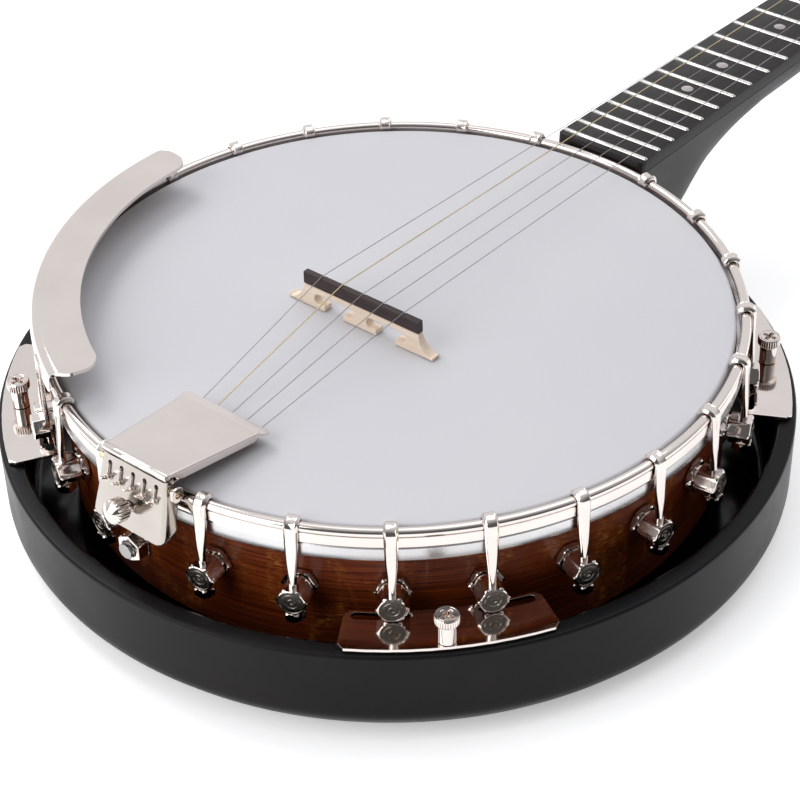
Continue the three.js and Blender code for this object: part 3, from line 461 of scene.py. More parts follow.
def softened(name, node_name, material, body="instrument", width=0.3, sharp=32):
    """A copy of a measured node with its corners joined and its edges rounded."""
    source = nodes[node_name]
    mesh = source.data.copy()
    mesh.name = name
    mesh.transform(source.matrix_world)
    work = bmesh.new()
    work.from_mesh(mesh)
    bmesh.ops.remove_doubles(work, verts=work.verts, dist=1e-6)
    bmesh.ops.dissolve_limit(work, angle_limit=0.02, verts=work.verts, edges=work.edges)
    work.to_mesh(mesh)
    work.free()
    mesh.shade_smooth()
    mesh.set_sharp_from_angle(angle=math.radians(sharp))
    mesh.materials.clear()
    mesh.materials.append(material)
    for polygon in mesh.polygons:
        polygon.material_index = 0
    made = bpy.data.objects.new(name, mesh)
    scene.collection.objects.link(made)
    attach(made, body)
    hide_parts(node_name)
    if width:
        round_edges(made, width, angle=sharp)
    return made


print("helpers ready")

# %% [markdown]
# ## The pot
# The pot is a laminated wooden rim with a cast ring on top, a film head stretched over it, and a
# metal band that grips the film. All of them are rings, so each is one closed profile carried
# round the pot's axis. The rim also needs its grain to run round it as the laminations do, so
# its grid gets a UV map in metres: along the rim one way and up the rim the other.

# %% Rings of the pot
RING_SIDES = 288


def ring(name, profile, material, stands_for, sharp=32):
    """A closed (radius, height) profile turned into a ring round the pot's axis."""
    rings = turned(profile, RING_SIDES)
    return add_grid(name, rings, material, wrap_rows=True, stands_for=stands_for, sharp=sharp)


def arc_rows(centre, height, radius, start, stop, count):
    """Rows (radius, height) along an arc of a profile, angles in degrees."""
    t = np.radians(np.linspace(start, stop, count))
    return [(centre + radius * math.cos(a), height + radius * math.sin(a)) for a in t]


rim_rows = [(124.6, -66.0), (140.0, -66.0), (140.5, -65.5), (140.5, -58), (140.5, -40),
            (140.5, -24), (140.5, -10.9), (140.0, -10.4), (124.5, -10.4),
            (124.0, -10.9), (124.0, -38), (124.0, -65.4)]
rim = ring("pot_rim", rim_rows, mahogany, "rim")


def wrap_grain(piece, radius):
    """UV map "grain" in metres: u up the rim, v along the grain, seam behind the neck."""
    mesh = piece.data
    layer = mesh.uv_layers.new(name="grain")
    place = np.empty(len(mesh.vertices) * 3)
    mesh.vertices.foreach_get("co", place)
    place = place.reshape(-1, 3)
    corner = np.empty(len(mesh.loops), int)
    mesh.loops.foreach_get("vertex_index", corner)
    angle = np.arctan2(place[:, 0], place[:, 1]) % (2 * np.pi)
    depth = np.hypot(place[:, 0], place[:, 1])
    here = angle[corner].reshape(-1, 4)
    here = np.where((here.max(1) - here.min(1) > np.pi)[:, None] & (here < np.pi), here + 2 * np.pi,
                    here)
    layer_uv = np.stack([(place[corner, 2] + depth[corner]), here.ravel() * radius * MM], -1)
    layer.data.foreach_set("uv", layer_uv.ravel().astype(np.float32))


wrap_grain(rim, 140.5)

tone_rows = [(134.5, -10.0), (140.6, -10.0), (141.1, -9.6), (141.1, -2.9),
             *arc_rows(140.2, -2.2, 0.9, -10, 100, 5),
             (137.6, -1.7), (136.6, -4.0)]
ring("tone_ring_casting", tone_rows, bell_metal, "tone_ring")

band_rows = [(142.6, -13.3), (146.2, -13.3), *arc_rows(146.2, -12.8, 0.5, -90, 0, 4), (146.75, -10),
             (146.7, -7.6),
             (146.2, -7.1), (142.6, -7.1)]
ring("head_band", band_rows, band_metal, "flesh_hoop")

# %% The drum head
head_rows = [(0.0, -0.5), (60, -0.5), (120, -0.5), (139.4, -0.5), (141.1, -1.9), (141.6, -10.0),
             (142.2, -10.0),
             (142.2, -2.0), *arc_rows(140.6, -1.6, 1.6, 0, 90, 7), (136.0, 0.0), (110, 0.0),
             (70, 0.0), (30, 0.0), (0.0, 0.0)]
add_grid("stretched_head", turned(head_rows, RING_SIDES), film, stands_for="drum_head", sharp=40)
pot_pieces = [piece.name for piece in scene.objects
              if piece.type == "MESH" and piece.name not in nodes and piece != floor]
print("pot rings and head:", pot_pieces)

# %% [markdown]
# ## Tension hoop, hooks and shoes
# The hoop pulls the head down. It is a bright band with a round bead on top, and a fine groove
# where the two meet. Twenty-four hooks claw over the bead. Each is forged flat with a raised face
# and chamfered sides, then drawn to a round rod, so its section is a superellipse whose power goes
# from nearly square to round along the path. The rod passes through a hexagonal shoe and ends in a
# nut. Two hooks at each flange plate carry their nut below the plate.

# %% The hoop
hoop_rows = [(144.2, -6.0), (147.3, -6.2), (147.6, -5.8), (147.6, -1.9), (147.45, -1.5),
             (146.7, -1.2),
             (146.75, -1.0), (147.55, -0.8), *arc_rows(145.9, 0.0, 2.1, -18, 184, 15),
             (143.9, -0.8)]
TENSION = "tension_hoop_and_hooks"
ring("tension_hoop", hoop_rows, nickel, TENSION, sharp=28)

# %% One hook, shoe and nut
ROD_R = 1.75


def hook_points(end):
    """Rings of a hook: x = w sign(c)|c|^p and n = t sign(s)|s|^p, with p from 0.34 to 1.

    A raised flat with chamfered sides runs down the front, and the claw carries three ribs.
    """
    a = np.radians(np.linspace(176, 0, 17))
    y = np.r_[145.9 + 3.15 * np.cos(a), 149.06, 149.12, 149.25, 149.42, 149.62, 149.8, 149.93, 150,
              150, 150]
    z = np.r_[3.15 * np.sin(a), -3, -7, -11, -15, -18.5, -21.5, -24.5, -28, -36, end]
    w = np.r_[2.35, 2.65, np.full(15, 2.85), 2.75, 2.62, 2.5, 2.3, 2.02, 1.8, 1.66, 1.62, ROD_R,
              ROD_R]
    t = np.r_[0.45, 0.6, np.full(15, 0.72), 0.72, 0.76, 0.84, 1.0, 1.2, 1.4, 1.55, 1.62, ROD_R,
              ROD_R]
    p = np.r_[np.full(17, 0.34), 0.34, 0.36, 0.42, 0.55, 0.7, 0.85, 1, 1, 1, 1]
    ridge = np.r_[0, 0.15, np.full(15, 0.5), 0.5, 0.5, 0.48, 0.42, 0.3, 0.12, 0, 0, 0, 0]
    ribs = np.r_[0, 0.1, np.full(14, 0.34), 0.3, 0.2, 0.05, np.zeros(8)]
    dy, dz = np.gradient(y), np.gradient(z)
    length = np.hypot(dy, dz)
    ny, nz = -dz / length, dy / length
    angle = np.linspace(0, 2 * np.pi, 44, endpoint=False)
    c, s = np.cos(angle), np.sin(angle)
    power = p[:, None]
    x = w[:, None] * np.sign(c) * np.abs(c) ** power
    n = t[:, None] * np.sign(s) * np.abs(s) ** power
    share = np.abs(x) / w[:, None]
    n += ridge[:, None] * np.clip((0.95 - share) / 0.3, 0, 1) * (s > 0)
    n += ribs[:, None] * (np.cos(2 * np.pi * 1.5 * share) - 1) / 2 * (s > 0)
    return np.stack([x, y[:, None] + n * ny[:, None], z[:, None] + n * nz[:, None]], -1)


def hex_radius(angle, flats, turn=0.0):
    """Radius of a hexagon of that width across flats, with a corner at angle = turn."""
    part = (angle - turn) % (np.pi / 3) - np.pi / 6
    return flats / 2 / np.cos(part)


def hex_rows(rows, turn=0.0, sides=72):
    """Rows (height, flats, limit) of a turned hexagon: radius = min(hexagon, limit)."""
    angle = np.linspace(0, 2 * np.pi, sides, endpoint=False)
    rings = []
    for height, flats, limit in rows:
        radius = np.minimum(hex_radius(angle, flats, turn), limit)
        rings.append(np.stack([radius * np.cos(angle), radius * np.sin(angle),
                               np.full(sides, height)], -1))
    return np.array(rings)


SHOE_ROWS = [(141.1, 12.8, 0.0), (141.1, 12.8, 6.6), (141.5, 12.8, 7.4), (143.1, 12.8, 7.4),
             (143.5, 12.8, 6.6),
             (143.6, 12.8, 5.0), (144.3, 12.8, 5.0), (144.4, 11.1, 5.9), (144.9, 11.1, 6.45),
             (152.8, 11.1, 6.45),
             (153.35, 11.1, 5.75), (153.6, 11.1, 5.3), (153.6, 11.1, 5.0)]
SHOE_FACE = [(153.6, 11.1, 5.02), (153.35, 11.1, 4.8), (153.35, 11.1, 3.9), (153.58, 11.1, 3.7),
             (153.58, 11.1, 2.6),
             (153.3, 11.1, 2.4), (153.3, 11.1, 1.7), (153.5, 11.1, 1.5), (153.5, 11.1, 0.9),
             (153.0, 11.1, 0.6),
             (152.9, 11.1, 0.0)]
NUT_ROWS = [(0.0, 7.8, 0.0), (0.0, 7.8, 3.9), (0.45, 7.8, 4.55), (3.35, 7.8, 4.55), (3.8, 7.8, 3.9),
            (3.8, 7.8, 0.0)]


def shoe_points(rows):
    """The shoe's rows laid along the radius, flats level, at the shoe's height."""
    rings = hex_rows(rows)
    return np.stack([rings[..., 0], rings[..., 2], rings[..., 1] - 32.0], -1)


# %% Twenty-four of each round the pot
FIRST_HOOK, HOOK_STEP = 12.1, 14.36
hook_bearings = [side * (FIRST_HOOK + i * HOOK_STEP) for side in (1, -1) for i in range(12)]
for index, bearing in enumerate(hook_bearings):
    clamps = index % 12 in (2, 3, 8, 9)
    nut_top = -37.65 - (2.1 if clamps else 0.0)
    number = f"{index + 1:02d}"
    rings = at_bearing(hook_points(nut_top - 5.5), bearing)
    add_grid("hook_" + number, rings, nickel, caps=True, stands_for=TENSION, sharp=38)
    rings = at_bearing(shoe_points(SHOE_ROWS), bearing)
    add_grid("shoe_" + number, rings, nickel, stands_for=TENSION, sharp=25, closed=False)
    rings = at_bearing(shoe_points(SHOE_FACE), bearing)
    add_grid("shoe_face_" + number, rings, turned_nickel, stands_for=TENSION,
             sharp=25, closed=False)
    rings = hex_rows(NUT_ROWS) + np.array([0, 150.0, nut_top - 3.8])
    add_grid("hook_nut_" + number, at_bearing(rings, bearing), nickel,
             stands_for=TENSION, sharp=25)
print(len(hook_bearings), "hooks, each with a shoe and a nut")

# %% [markdown]
# ## Resonator
# The resonator is a turned wooden bowl that throws the sound forward. Its wall is one profile
# carried round, except where the neck's heel drops into a notch. Columns of the grid are bent so
# that they follow the notch's two straight edges, the faces inside the notch are left out, and
# one face closes the cut wall on each side. The outside is satin lacquer and the inside gloss.

# %% The bowl
NOTCH_HALF, NOTCH_FLOOR = 24.6, -67.0
INSIDE_R, INSIDE_FLOOR = 163.2, 4.5  # the gloss finish starts within these, counted from the back
wall_rows = np.array(
    [(0.0, -84.0), (80, -84.0), (130, -84.0), (152, -84.0),
     *arc_rows(155, -71.5, 12.5, -84, -34, 7),
     *[(167.6 + 2.4 * math.sin(math.pi / 2 * k), -76.2 + 6.2 * k) for k in (0.25, 0.5, 0.75, 1.0)],
     (170, NOTCH_FLOOR), (170, -55), (170, -42.0), *arc_rows(168.6, -41.6, 1.4, 0, 90, 6),
     (165, -40.2), (163.4, -40.2), *arc_rows(163.4, -41.8, 1.6, 90, 180, 5), (161.8, -55),
     (161.8, NOTCH_FLOOR),
     (161.8, -72), *arc_rows(156.0, -73.2, 5.8, 0, -90, 6), (120, -79.0), (60, -79.0),
     (0.0, -79.0)])
COLUMNS = 360
u = np.linspace(-np.pi, np.pi, COLUMNS, endpoint=False)
edge = math.asin(NOTCH_HALF / 170.0)
left_column, right_column = np.abs(u + edge).argmin(), np.abs(u - edge).argmin()
u = np.interp(np.arange(COLUMNS), [0, left_column, right_column, COLUMNS - 1],
              [u[0], -edge, edge, u[-1]])
radius = np.maximum(wall_rows[:, :1], 1e-6)
wanted = np.arcsin(np.clip(NOTCH_HALF / np.maximum(radius, 150.0), 0, 1)) - edge
fade = np.where(np.abs(u) <= edge, u / edge,
                np.sign(u) * np.clip(1 - (np.abs(u) - edge) / 0.35, 0, 1))
angle = u[None, :] + wanted * fade[None, :]
bowl = np.stack([wall_rows[:, :1] * np.sin(angle), wall_rows[:, :1] * np.cos(angle),
                 np.repeat(wall_rows[:, 1:], COLUMNS, 1)], -1)
outer = int(np.flatnonzero((wall_rows[:, 0] == 170) & (wall_rows[:, 1] == NOTCH_FLOOR))[0])
inner = int(np.flatnonzero((wall_rows[:, 0] == 161.8) & (wall_rows[:, 1] == NOTCH_FLOOR))[0])
rows, columns = np.divmod(np.arange((len(wall_rows) - 1) * COLUMNS), COLUMNS)
cut = (rows >= outer) & (rows < inner) & (columns >= left_column) & (columns < right_column)
faces = [f for f, gone in zip(grid_faces(len(wall_rows), COLUMNS), cut) if not gone]
for column in range(left_column, right_column):
    faces.append([outer * COLUMNS + column, inner * COLUMNS + column,
                  inner * COLUMNS + column + 1, outer * COLUMNS + column + 1])
faces.append([r * COLUMNS + left_column for r in range(outer, inner + 1)])
faces.append([r * COLUMNS + right_column for r in range(outer, inner + 1)][::-1])
bowl_piece = add_piece("resonator_bowl", bowl, faces, satin_black, body="resonator",
                       stands_for="resonator", sharp=40)
bowl_piece.data.materials.append(gloss_black)
for polygon in bowl_piece.data.polygons:
    centre = polygon.center
    if math.hypot(centre.x, centre.y) < INSIDE_R * MM and centre.z > INSIDE_FLOOR * MM:
        polygon.material_index = 1
loose = bmesh.new()
loose.from_mesh(bowl_piece.data)
bmesh.ops.delete(loose, geom=[v for v in loose.verts if not v.link_faces], context="VERTS")
loose.to_mesh(bowl_piece.data)
loose.free()
for index in range(1, 5):
    softened(f"screw_block_{index}", f"resonator_lug_{index}", gloss_black, "resonator", 0.5)
print("resonator wall:", len(bowl_piece.data.polygons), "faces")
# %% [markdown]
# ## Flange plates and thumb screws
# Four plates bridge the gap between pot and resonator, and a thumb screw through each holds the
# resonator on. The plates keep their measured shape with a small bevel. A screw is turned, and
# its knurling is part of the same formula: the radius drops between the teeth. The cross recess
# in its top is a height field over the last rings.

# %% The plates
for index in range(1, 5):
    softened(f"flange_sheet_{index}", f"flange_plate_{index}", nickel, width=0.35)

# %% The screws
SCREWS = [(159.8, 48.6), (164.4, 134.3), (159.8, -134.9), (159.8, -48.6)]  # radius and bearing
SCREW_TOP = -24.7
screw_rows = [(0.0, -50), (1.2, -50), (1.75, -49.2), (1.75, -37.6), (3.3, -37.6), (3.6, -37.3),
              (3.6, -29.4),
              (3.9, -28.9), (4.4, -28.6), (4.8, -28.2, 0.35), (4.9, -27.6, 0.4), (4.9, -25.6, 0.4),
              (4.85, -25.1, 0.2),
              (4.5, SCREW_TOP), (4.1, SCREW_TOP), (4.0, SCREW_TOP - 0.12), (3.8, SCREW_TOP - 0.12),
              (3.7, SCREW_TOP)]
screw_rows += [(float(r), SCREW_TOP) for r in np.linspace(3.4, 0.0, 20)]
screw = turned(screw_rows, sides=216, teeth=27)
x, y = np.abs(screw[..., 0]), np.abs(screw[..., 1])
long_arm, short_arm = np.maximum(x, y), np.minimum(x, y)
recess = np.clip((0.85 - short_arm) / 0.35, 0, 1) * np.clip((2.9 - long_arm) / 0.9, 0, 1)
on_top = (screw[..., 2] >= SCREW_TOP - 1e-6) & (np.hypot(x, y) < 3.6)
screw[..., 2] -= np.where(on_top, 2.2 * recess, 0.0)
for index, (radius, bearing) in enumerate(SCREWS, start=1):
    a = math.radians(bearing)
    place = screw + np.array([radius * math.sin(a), radius * math.cos(a), 0.0])
    add_grid(f"knurled_thumb_screw_{index}", place, nickel,
             body=f"thumb_screw_{index}", stands_for=f"thumb_screw_{index}", sharp=30)
print("four flange plates and four thumb screws, each with 27 teeth")

# %% [markdown]
# ## Bridge
# The bridge is a thin plate of maple standing on three feet, with a strip of ebony along the top.
# Its outline is half drawn and half mirrored, and its thickness shrinks from the feet to the cap.
# The cap's top dips where each string has worn its slot.

# %% Maple base
BRIDGE_Y = -20.4


def arc_points(centre_x, centre_z, radius, start, stop, count=14):
    """(x, z) points along an arc, angles in degrees."""
    t = np.radians(np.linspace(start, stop, count))
    return list(zip(centre_x + radius * np.cos(t), centre_z + radius * np.sin(t)))


half_outline = [(8.8, 0.3), (8.8, 2.6), *arc_points(5.6, 4.8, 2.2, -60, -270), (14, 7.6),
                *arc_points(22.4, 4.8, 2.2, 90, -120), (18.8, 2.6), (18.8, 0.3), (38.4, 0.3),
                (38.4, 1.9),
                *arc_points(40.6, 10.4, 10, 250, 184, 18)]
outline = np.array(half_outline + [(-px, pz) for px, pz in half_outline[::-1]])
thick = 2.5 - 1.0 * outline[:, 1] / 10.0
front = np.stack([outline[:, 0], BRIDGE_Y - thick, outline[:, 1]], -1)
back = np.stack([outline[:, 0], BRIDGE_Y + thick, outline[:, 1]], -1)
base = add_grid("maple_bridge", [front, back], maple, caps=True,
                stands_for="bridge_base", sharp=40)
round_edges(base, 0.35, 3)

# %% Ebony cap
STRING_STEP, CAP_HALF, CAP_TOP = 10.8, 30.6, 15.5
slots_at = (np.arange(5) - 2) * STRING_STEP
stations = np.unique(np.round(np.r_[np.linspace(-CAP_HALF, CAP_HALF, 25),
                                    (slots_at[:, None] + np.linspace(-0.9, 0.9, 13)).ravel()], 3))
dip = 0.5 * np.exp(-(((stations[:, None] - slots_at) / 0.33) ** 2)).sum(1)
section = [(-1.5, 10.0, 0), (1.5, 10.0, 0), (1.5, 12.5, 0), (1.42, CAP_TOP, 1), (-1.42, CAP_TOP, 1),
           (-1.5, 12.5, 0)]
cap = np.array([[(s, BRIDGE_Y + cy, cz - top * d) for cy, cz, top in section] for s,
                d in zip(stations, dip)])
cap_piece = add_grid("ebony_cap", cap, ebony, caps=True, stands_for="bridge_cap", sharp=50)
round_edges(cap_piece, 0.22, 2, angle=55)
print("bridge:", len(base.data.polygons), "faces; cap slots at", slots_at.tolist())

# %% [markdown]
# ## Armrest
# The armrest is one sheet of nickelled brass bent over the hoop. It is a grid that runs from the
# inner edge, across the pad, round the bend and down the skirt, and along the pot's bearing the
# other way. Each row's ends are pulled in by a quarter circle, which rounds the corners. The
# Solidify modifier gives the sheet its thickness and Bevel rounds its rim.

# %% The sheet
ARM_MIDDLE, ARM_HALF, ARM_TOP = -120.3, 36.3, 13.7
PAD_IN, PAD_OUT, CORNER = 129.2, 148.9, 8.0
pad_r = np.r_[PAD_IN + CORNER * (1 - np.cos(np.linspace(0, np.pi / 2, 12))),
              np.linspace(138.5, 145.9, 7)]
bend = np.radians(np.linspace(90, 0, 9))
row_r = np.r_[pad_r, PAD_OUT - 3 + 3 * np.cos(bend), np.full(6, PAD_OUT)]
row_h = np.r_[np.full(len(pad_r), ARM_TOP), ARM_TOP - 3 + 3 * np.sin(bend),
              np.linspace(ARM_TOP - 3.6, 4.7, 6)]
run = np.r_[0, np.cumsum(np.hypot(np.diff(row_r), np.diff(row_h)))]


def rounded(distance, corner):
    """How far a corner of that radius pulls in at a distance from the edge."""
    inside = np.clip(1 - distance / corner, 0, 1)
    return corner * (1 - np.sqrt(1 - inside**2))


pull = (rounded(run, CORNER) + rounded(run[-1] - run, 3.0)
        + 4.2 * np.clip((row_r - 141) / 7, 0, 1) ** 2)
reach = math.radians(ARM_HALF) - pull / row_r
t = np.linspace(-1, 1, 97)
arm_angle = math.radians(ARM_MIDDLE) + reach[:, None] * t[None, :]
arm = np.stack([row_r[:, None] * np.sin(arm_angle), row_r[:, None] * np.cos(arm_angle),
                np.repeat(row_h[:, None], len(t), 1)], -1)
arm_faces = [f[::-1] for f in grid_faces(len(row_r), len(t), wrap_columns=False)]
armrest = add_piece("armrest_sheet", arm, arm_faces, nickel, stands_for="armrest", sharp=60,
                    closed=False)
modifier(armrest, "SOLIDIFY", thickness=1.6 * MM, offset=-1.0, use_even_offset=True)
round_edges(armrest, 0.4, 3, angle=60)
for index in (1, 2):
    softened(f"armrest_clamp_bolt_{index}", f"armrest_clamp_{index}", nickel, width=0.4)
print("armrest sheet is", round(float(run[-1]), 1), "mm across the bend")

# %% [markdown]
# ## Tailpiece
# The tailpiece is a clamshell: a fixed frame that the strings cross, and a hinged cover over it.
# The cover's front is creased and flares into a wider band, from under which the strings leave.
# Each string ends in a loop, twisted back on itself, which hooks over a tongue on the rear plate.
# A knurled screw presses the tailpiece down. The rear plate and the cover are folded sheets like
# the armrest, and the holes are drilled with a Boolean.

# %% Frame and the leaning rear plate
REAR_SLOPE = 0.28854
REAR_TOP_Y, REAR_TOP_H = -153.4, 10.9
HOLE_STEP, HOLE_H, SCREW_H, TONGUE_H = 6.0, 7.9, -4.8, 2.0
up_plate = np.array([0.0, REAR_SLOPE, 1.0]) / math.hypot(REAR_SLOPE, 1.0)
out_plate = np.array([0.0, -1.0, REAR_SLOPE]) / math.hypot(REAR_SLOPE, 1.0)


def rear_y(height):
    """y of the rear plate's outer face at a height."""
    return REAR_TOP_Y + REAR_SLOPE * (height - REAR_TOP_H)


def on_plate(across, along, out, height=0.0):
    """Points from distances across, up along and out of the rear plate, from a height on it."""
    across, along, out = np.broadcast_arrays(np.asarray(across, float), along, out)
    root = np.array([0.0, rear_y(height), height])
    return (root + across[..., None] * [1.0, 0, 0] + along[..., None] * up_plate
            + out[..., None] * out_plate)


def carve(piece, cutter):
    """Cuts one piece's shape out of another for good, and removes the cutter."""
    cut = modifier(piece, "BOOLEAN", object=cutter, solver="EXACT")
    bpy.context.view_layer.update()
    seen = piece.evaluated_get(bpy.context.evaluated_depsgraph_get())
    done = bpy.data.meshes.new_from_object(seen)
    piece.modifiers.clear()
    piece.data = done
    bpy.data.objects.remove(cutter)


# %% Rear plate, folded round at both sides, with five holes
SHEET, REAR_FOLD = 1.2, 2.2
fold = np.radians(np.linspace(0, 90, 8))
wall = np.r_[[(0.0, 7.5), (0.0, 5.5), (0.0, 4.0)], np.stack([REAR_FOLD * (1 - np.cos(fold)),
                                                          REAR_FOLD * (1 - np.sin(fold))], -1)]
plate_h = np.r_[-14.4, -14.2, -13.7, -12.8, np.linspace(-11, 9.6, 14), 10.5, 10.9]
plate_rows = []
for h in plate_h:
    share = (h + 14.4) / 25.3
    half = 18.6 - 2.2 * share - rounded(h + 14.4, 1.8)
    deep = min(1.0, (-149.4 - rear_y(h)) / 7.5)
    left = [(-half + inset, rear_y(h) + back * deep, h) for inset, back in wall]
    plate_rows.append(left + [(-px, py, pz) for px, py, pz in left[::-1]])
plate = np.array(plate_rows)
# The rear plate takes the darker nickel, whose lower colour is painted shade.
rear = add_grid("tailpiece_rear_plate", plate, rough_shaded_nickel, wrap_columns=False,
                stands_for="tailpiece_frame", sharp=50, closed=False)
front_face = rear.data.polygons[len(rear.data.polygons) // 2]
if front_face.normal.y > 0:
    rear.data.flip_normals()
modifier(rear, "SOLIDIFY", thickness=SHEET * MM, offset=-1.0, use_even_offset=True)
holes = [carried(turned([(0.0, -4), (1.0, -4), (1.0, 4), (0.0, 4)], 24),
                 (HOLE_STEP * k, rear_y(HOLE_H), HOLE_H), out_plate)
         for k in range(-2, 3)]
holes.append(carried(turned([(0.0, -4), (2.4, -4), (2.4, 4), (0.0, 4)], 32),
                     (0, rear_y(SCREW_H), SCREW_H), out_plate))
hole_faces = grid_faces(4, 24)
cutter_points = np.concatenate([h.reshape(-1, 3) for h in holes])
cutter_faces = [[v + 96 * k for v in f] for k in range(5) for f in hole_faces]
cutter_faces += [[v + 480 for v in f] for f in grid_faces(4, 32)]
drill = add_piece("drill", cutter_points, cutter_faces, nickel, sharp=40)
carve(rear, drill)
rear.data.shade_smooth()
rear.data.set_sharp_from_angle(angle=math.radians(50))
round_edges(rear, 0.22, 2, angle=50)

# %% Tongues for the string loops, and the base that the strings cross
for k in range(5):
    out = np.linspace(-0.6, 4.4, 9)
    droop = 0.9 * np.clip(out / 4.4, 0, 1) ** 2
    half_w = 1.15 - 0.5 * np.clip(out / 4.4, 0, 1)
    middle = HOLE_STEP * (k - 2)
    tongue = [on_plate([middle + w, middle + w, middle - w, middle - w],
                       [d - 0.35, d + 0.35, d + 0.35, d - 0.35],
                       [o] * 4, TONGUE_H) for o, d, w in zip(out, droop, half_w)]
    piece = add_grid(f"string_tongue_{k + 1}", tongue, nickel, caps=True,
                     stands_for="tailpiece_frame", sharp=50)
    round_edges(piece, 0.15, 2, angle=50)
base_y = np.array([-155.0, -150, -144, -130, -118, -109, -107.6, -106.6, -106, -105, -104.2, -103.6,
                   -103.1])
base_half = np.array([12, 12, 12, 12, 12, 12, 13.4, 15, 17.4, 17.6, 17.5, 17.2, 16.4])
base_top = np.interp(base_y, [-155, -144, -107.4, -103.6, -103.1], [4.6, 4.5, 3.0, 2.6, 2.1])
base_under = np.interp(base_y, [-155, -144, -107.4, -103.1], [3.5, 3.3, 1.6, 1.2])
base = [[(w, by, lo), (w, by, hi), (-w, by, hi), (-w, by, lo)]
        for by, w, hi, lo in zip(base_y, base_half, base_top, base_under)]
lip = add_grid("tailpiece_base_and_lip", base, nickel, caps=True,
               stands_for="tailpiece_frame", sharp=40)
round_edges(lip, 0.35, 3, angle=50)

# %% Cover, its front band and its hinge roll
HINGE_Y, HINGE_H, FRONT_Y, FRONT_H, FOLD = -152.2, 12.8, -107.0, 7.6, 1.1
fold_angle = np.radians(np.linspace(180, 90, 8))
side_out = np.r_[np.zeros(4),
                 FOLD + FOLD * np.cos(fold_angle)]  # inwards from the side's outer face
side_down = np.r_[[4.2, 3.6, 2.6, 1.6], FOLD - FOLD * np.sin(fold_angle)]
cover_y = np.r_[HINGE_Y + 0.2, HINGE_Y + 3.3, HINGE_Y + 3.5, HINGE_Y + 4, HINGE_Y + 5,
                np.linspace(-145, -112, 12),
                FRONT_Y - np.array([4.2, 3.2, 2.3, 1.5, 0.9, 0.4, 0.0])]
travel = (cover_y - HINGE_Y) / (FRONT_Y - HINGE_Y)
half = 16.6 + (20.2 - 16.6) * travel
top = 14.0 + (FRONT_H - 14.0) * travel
depth = (1.0 - 0.2 * travel) * (1.0 - 0.62 * rounded(np.maximum(FRONT_Y - cover_y, 0), 2.6) / 2.6)
depth *= np.where(cover_y < HINGE_Y + 3.2, 0.0, np.clip((cover_y - HINGE_Y - 2.4) / 2.2, 0.3, 1))
down = np.maximum(side_down[None, :] * depth[:, None], np.minimum(side_down, FOLD)[None, :] * 0.999)
left = np.stack([-half[:, None] + side_out[None, :], np.repeat(cover_y[:, None], len(side_out), 1),
                 top[:, None] - down], -1)
right = left[:, ::-1] * [-1, 1, 1]
cover = np.concatenate([left, right], 1)
cover_faces = grid_faces(len(cover_y), cover.shape[1], wrap_columns=False)
cover_piece = add_piece("tailpiece_lid", cover, cover_faces, nickel, body="tailpiece_cover",
                        stands_for="tailpiece_cover", sharp=50, closed=False)
if cover_piece.data.polygons[len(cover_faces) // 2].normal.z < 0:
    cover_piece.data.flip_normals()
modifier(cover_piece, "SOLIDIFY", thickness=1.0 * MM, offset=-1.0, use_even_offset=True)
round_edges(cover_piece, 0.25, 3, angle=50)
band_y = np.array([-108.0, -107.3, -107.0, -106.7, -106.3, -105.8, -105.2, -104.4, -103.2, -102.3,
                   -101.8, -101.5, -101.4])
band_half = np.array([19.9, 20.1, 20.25, 20.5, 20.9, 21.3, 21.5, 21.6, 21.6, 21.5, 21.2, 20.8,
                      20.4])
band_top = np.interp(band_y, [-108.0, -107.0, -101.4], [7.62, 7.62, 5.5])
band = [[(w, by, hi - 1.1), (w, by, hi), (-w, by, hi), (-w, by, hi - 1.1)]
        for by, w, hi in zip(band_y, band_half, band_top)]
band_piece = add_grid("lid_front_band", band, nickel, caps=True,
                      body="tailpiece_cover", stands_for="tailpiece_cover", sharp=40)
round_edges(band_piece, 0.3, 3, angle=50)
roll_rows = [(0.0, -16.5), (1.3, -16.5), (1.6, -16.1), (1.6, -5), (1.6, 5), (1.6, 16.1),
             (1.3, 16.5), (0.0, 16.5)]
roll = carried(turned(roll_rows, 32), (0, HINGE_Y, HINGE_H), (1, 0, 0))
add_grid("lid_hinge_roll", roll, nickel, body="tailpiece_cover",
         stands_for="tailpiece_cover", sharp=40)

# %% Pressure screw, cross pin and its coil
screw_rows = [(0.0, -1.1), (1.9, -1.1), (1.9, 2.9), (2.9, 3.0), (4.3, 3.6), (4.85, 4.2, 0.55),
              (4.9, 9.2, 0.55),
              (4.3, 9.8), (3.1, 10.6), (1.7, 11.3), (0.8, 11.6), (0.0, 11.65)]
root = np.array([0.0, rear_y(SCREW_H), SCREW_H])
pressure = carried(turned(screw_rows, 144, teeth=18), root, out_plate)
add_grid("knurled_pressure_screw", pressure, nickel,
         body="tailpiece_pressure_screw", stands_for="tailpiece_pressure_screw", sharp=30)
PIN_Y, PIN_H = -151.4, 6.2
pin_rows = [(0.0, -20.4), (0.8, -20.4), (1.1, -20.0), (1.1, 14.0),
            *[(1.1 - 0.22 * (k % 2), 14.2 + 0.35 * k) for k in
            range(17)], (0.8, 20.3), (0.0, 20.4)]
pin = carried(turned(pin_rows, 24), (0, PIN_Y, PIN_H), (1, 0, 0))
add_grid("cover_cross_pin", pin, wound_bronze, stands_for="tailpiece_cross_pin",
         slot="nickel_plate", sharp=30)
turns = np.linspace(0, 2 * np.pi * 3.5, 90)
coil = np.stack([17.9 + 1.5 * turns / turns[-1], PIN_Y + 1.75 * np.cos(turns),
                 PIN_H + 1.75 * np.sin(turns)], -1)
coil_rings = tube(coil, 0.28, 8)
add_grid("cross_pin_spring", coil_rings, nickel, caps=True,
         stands_for="tailpiece_cross_pin", sharp=40)
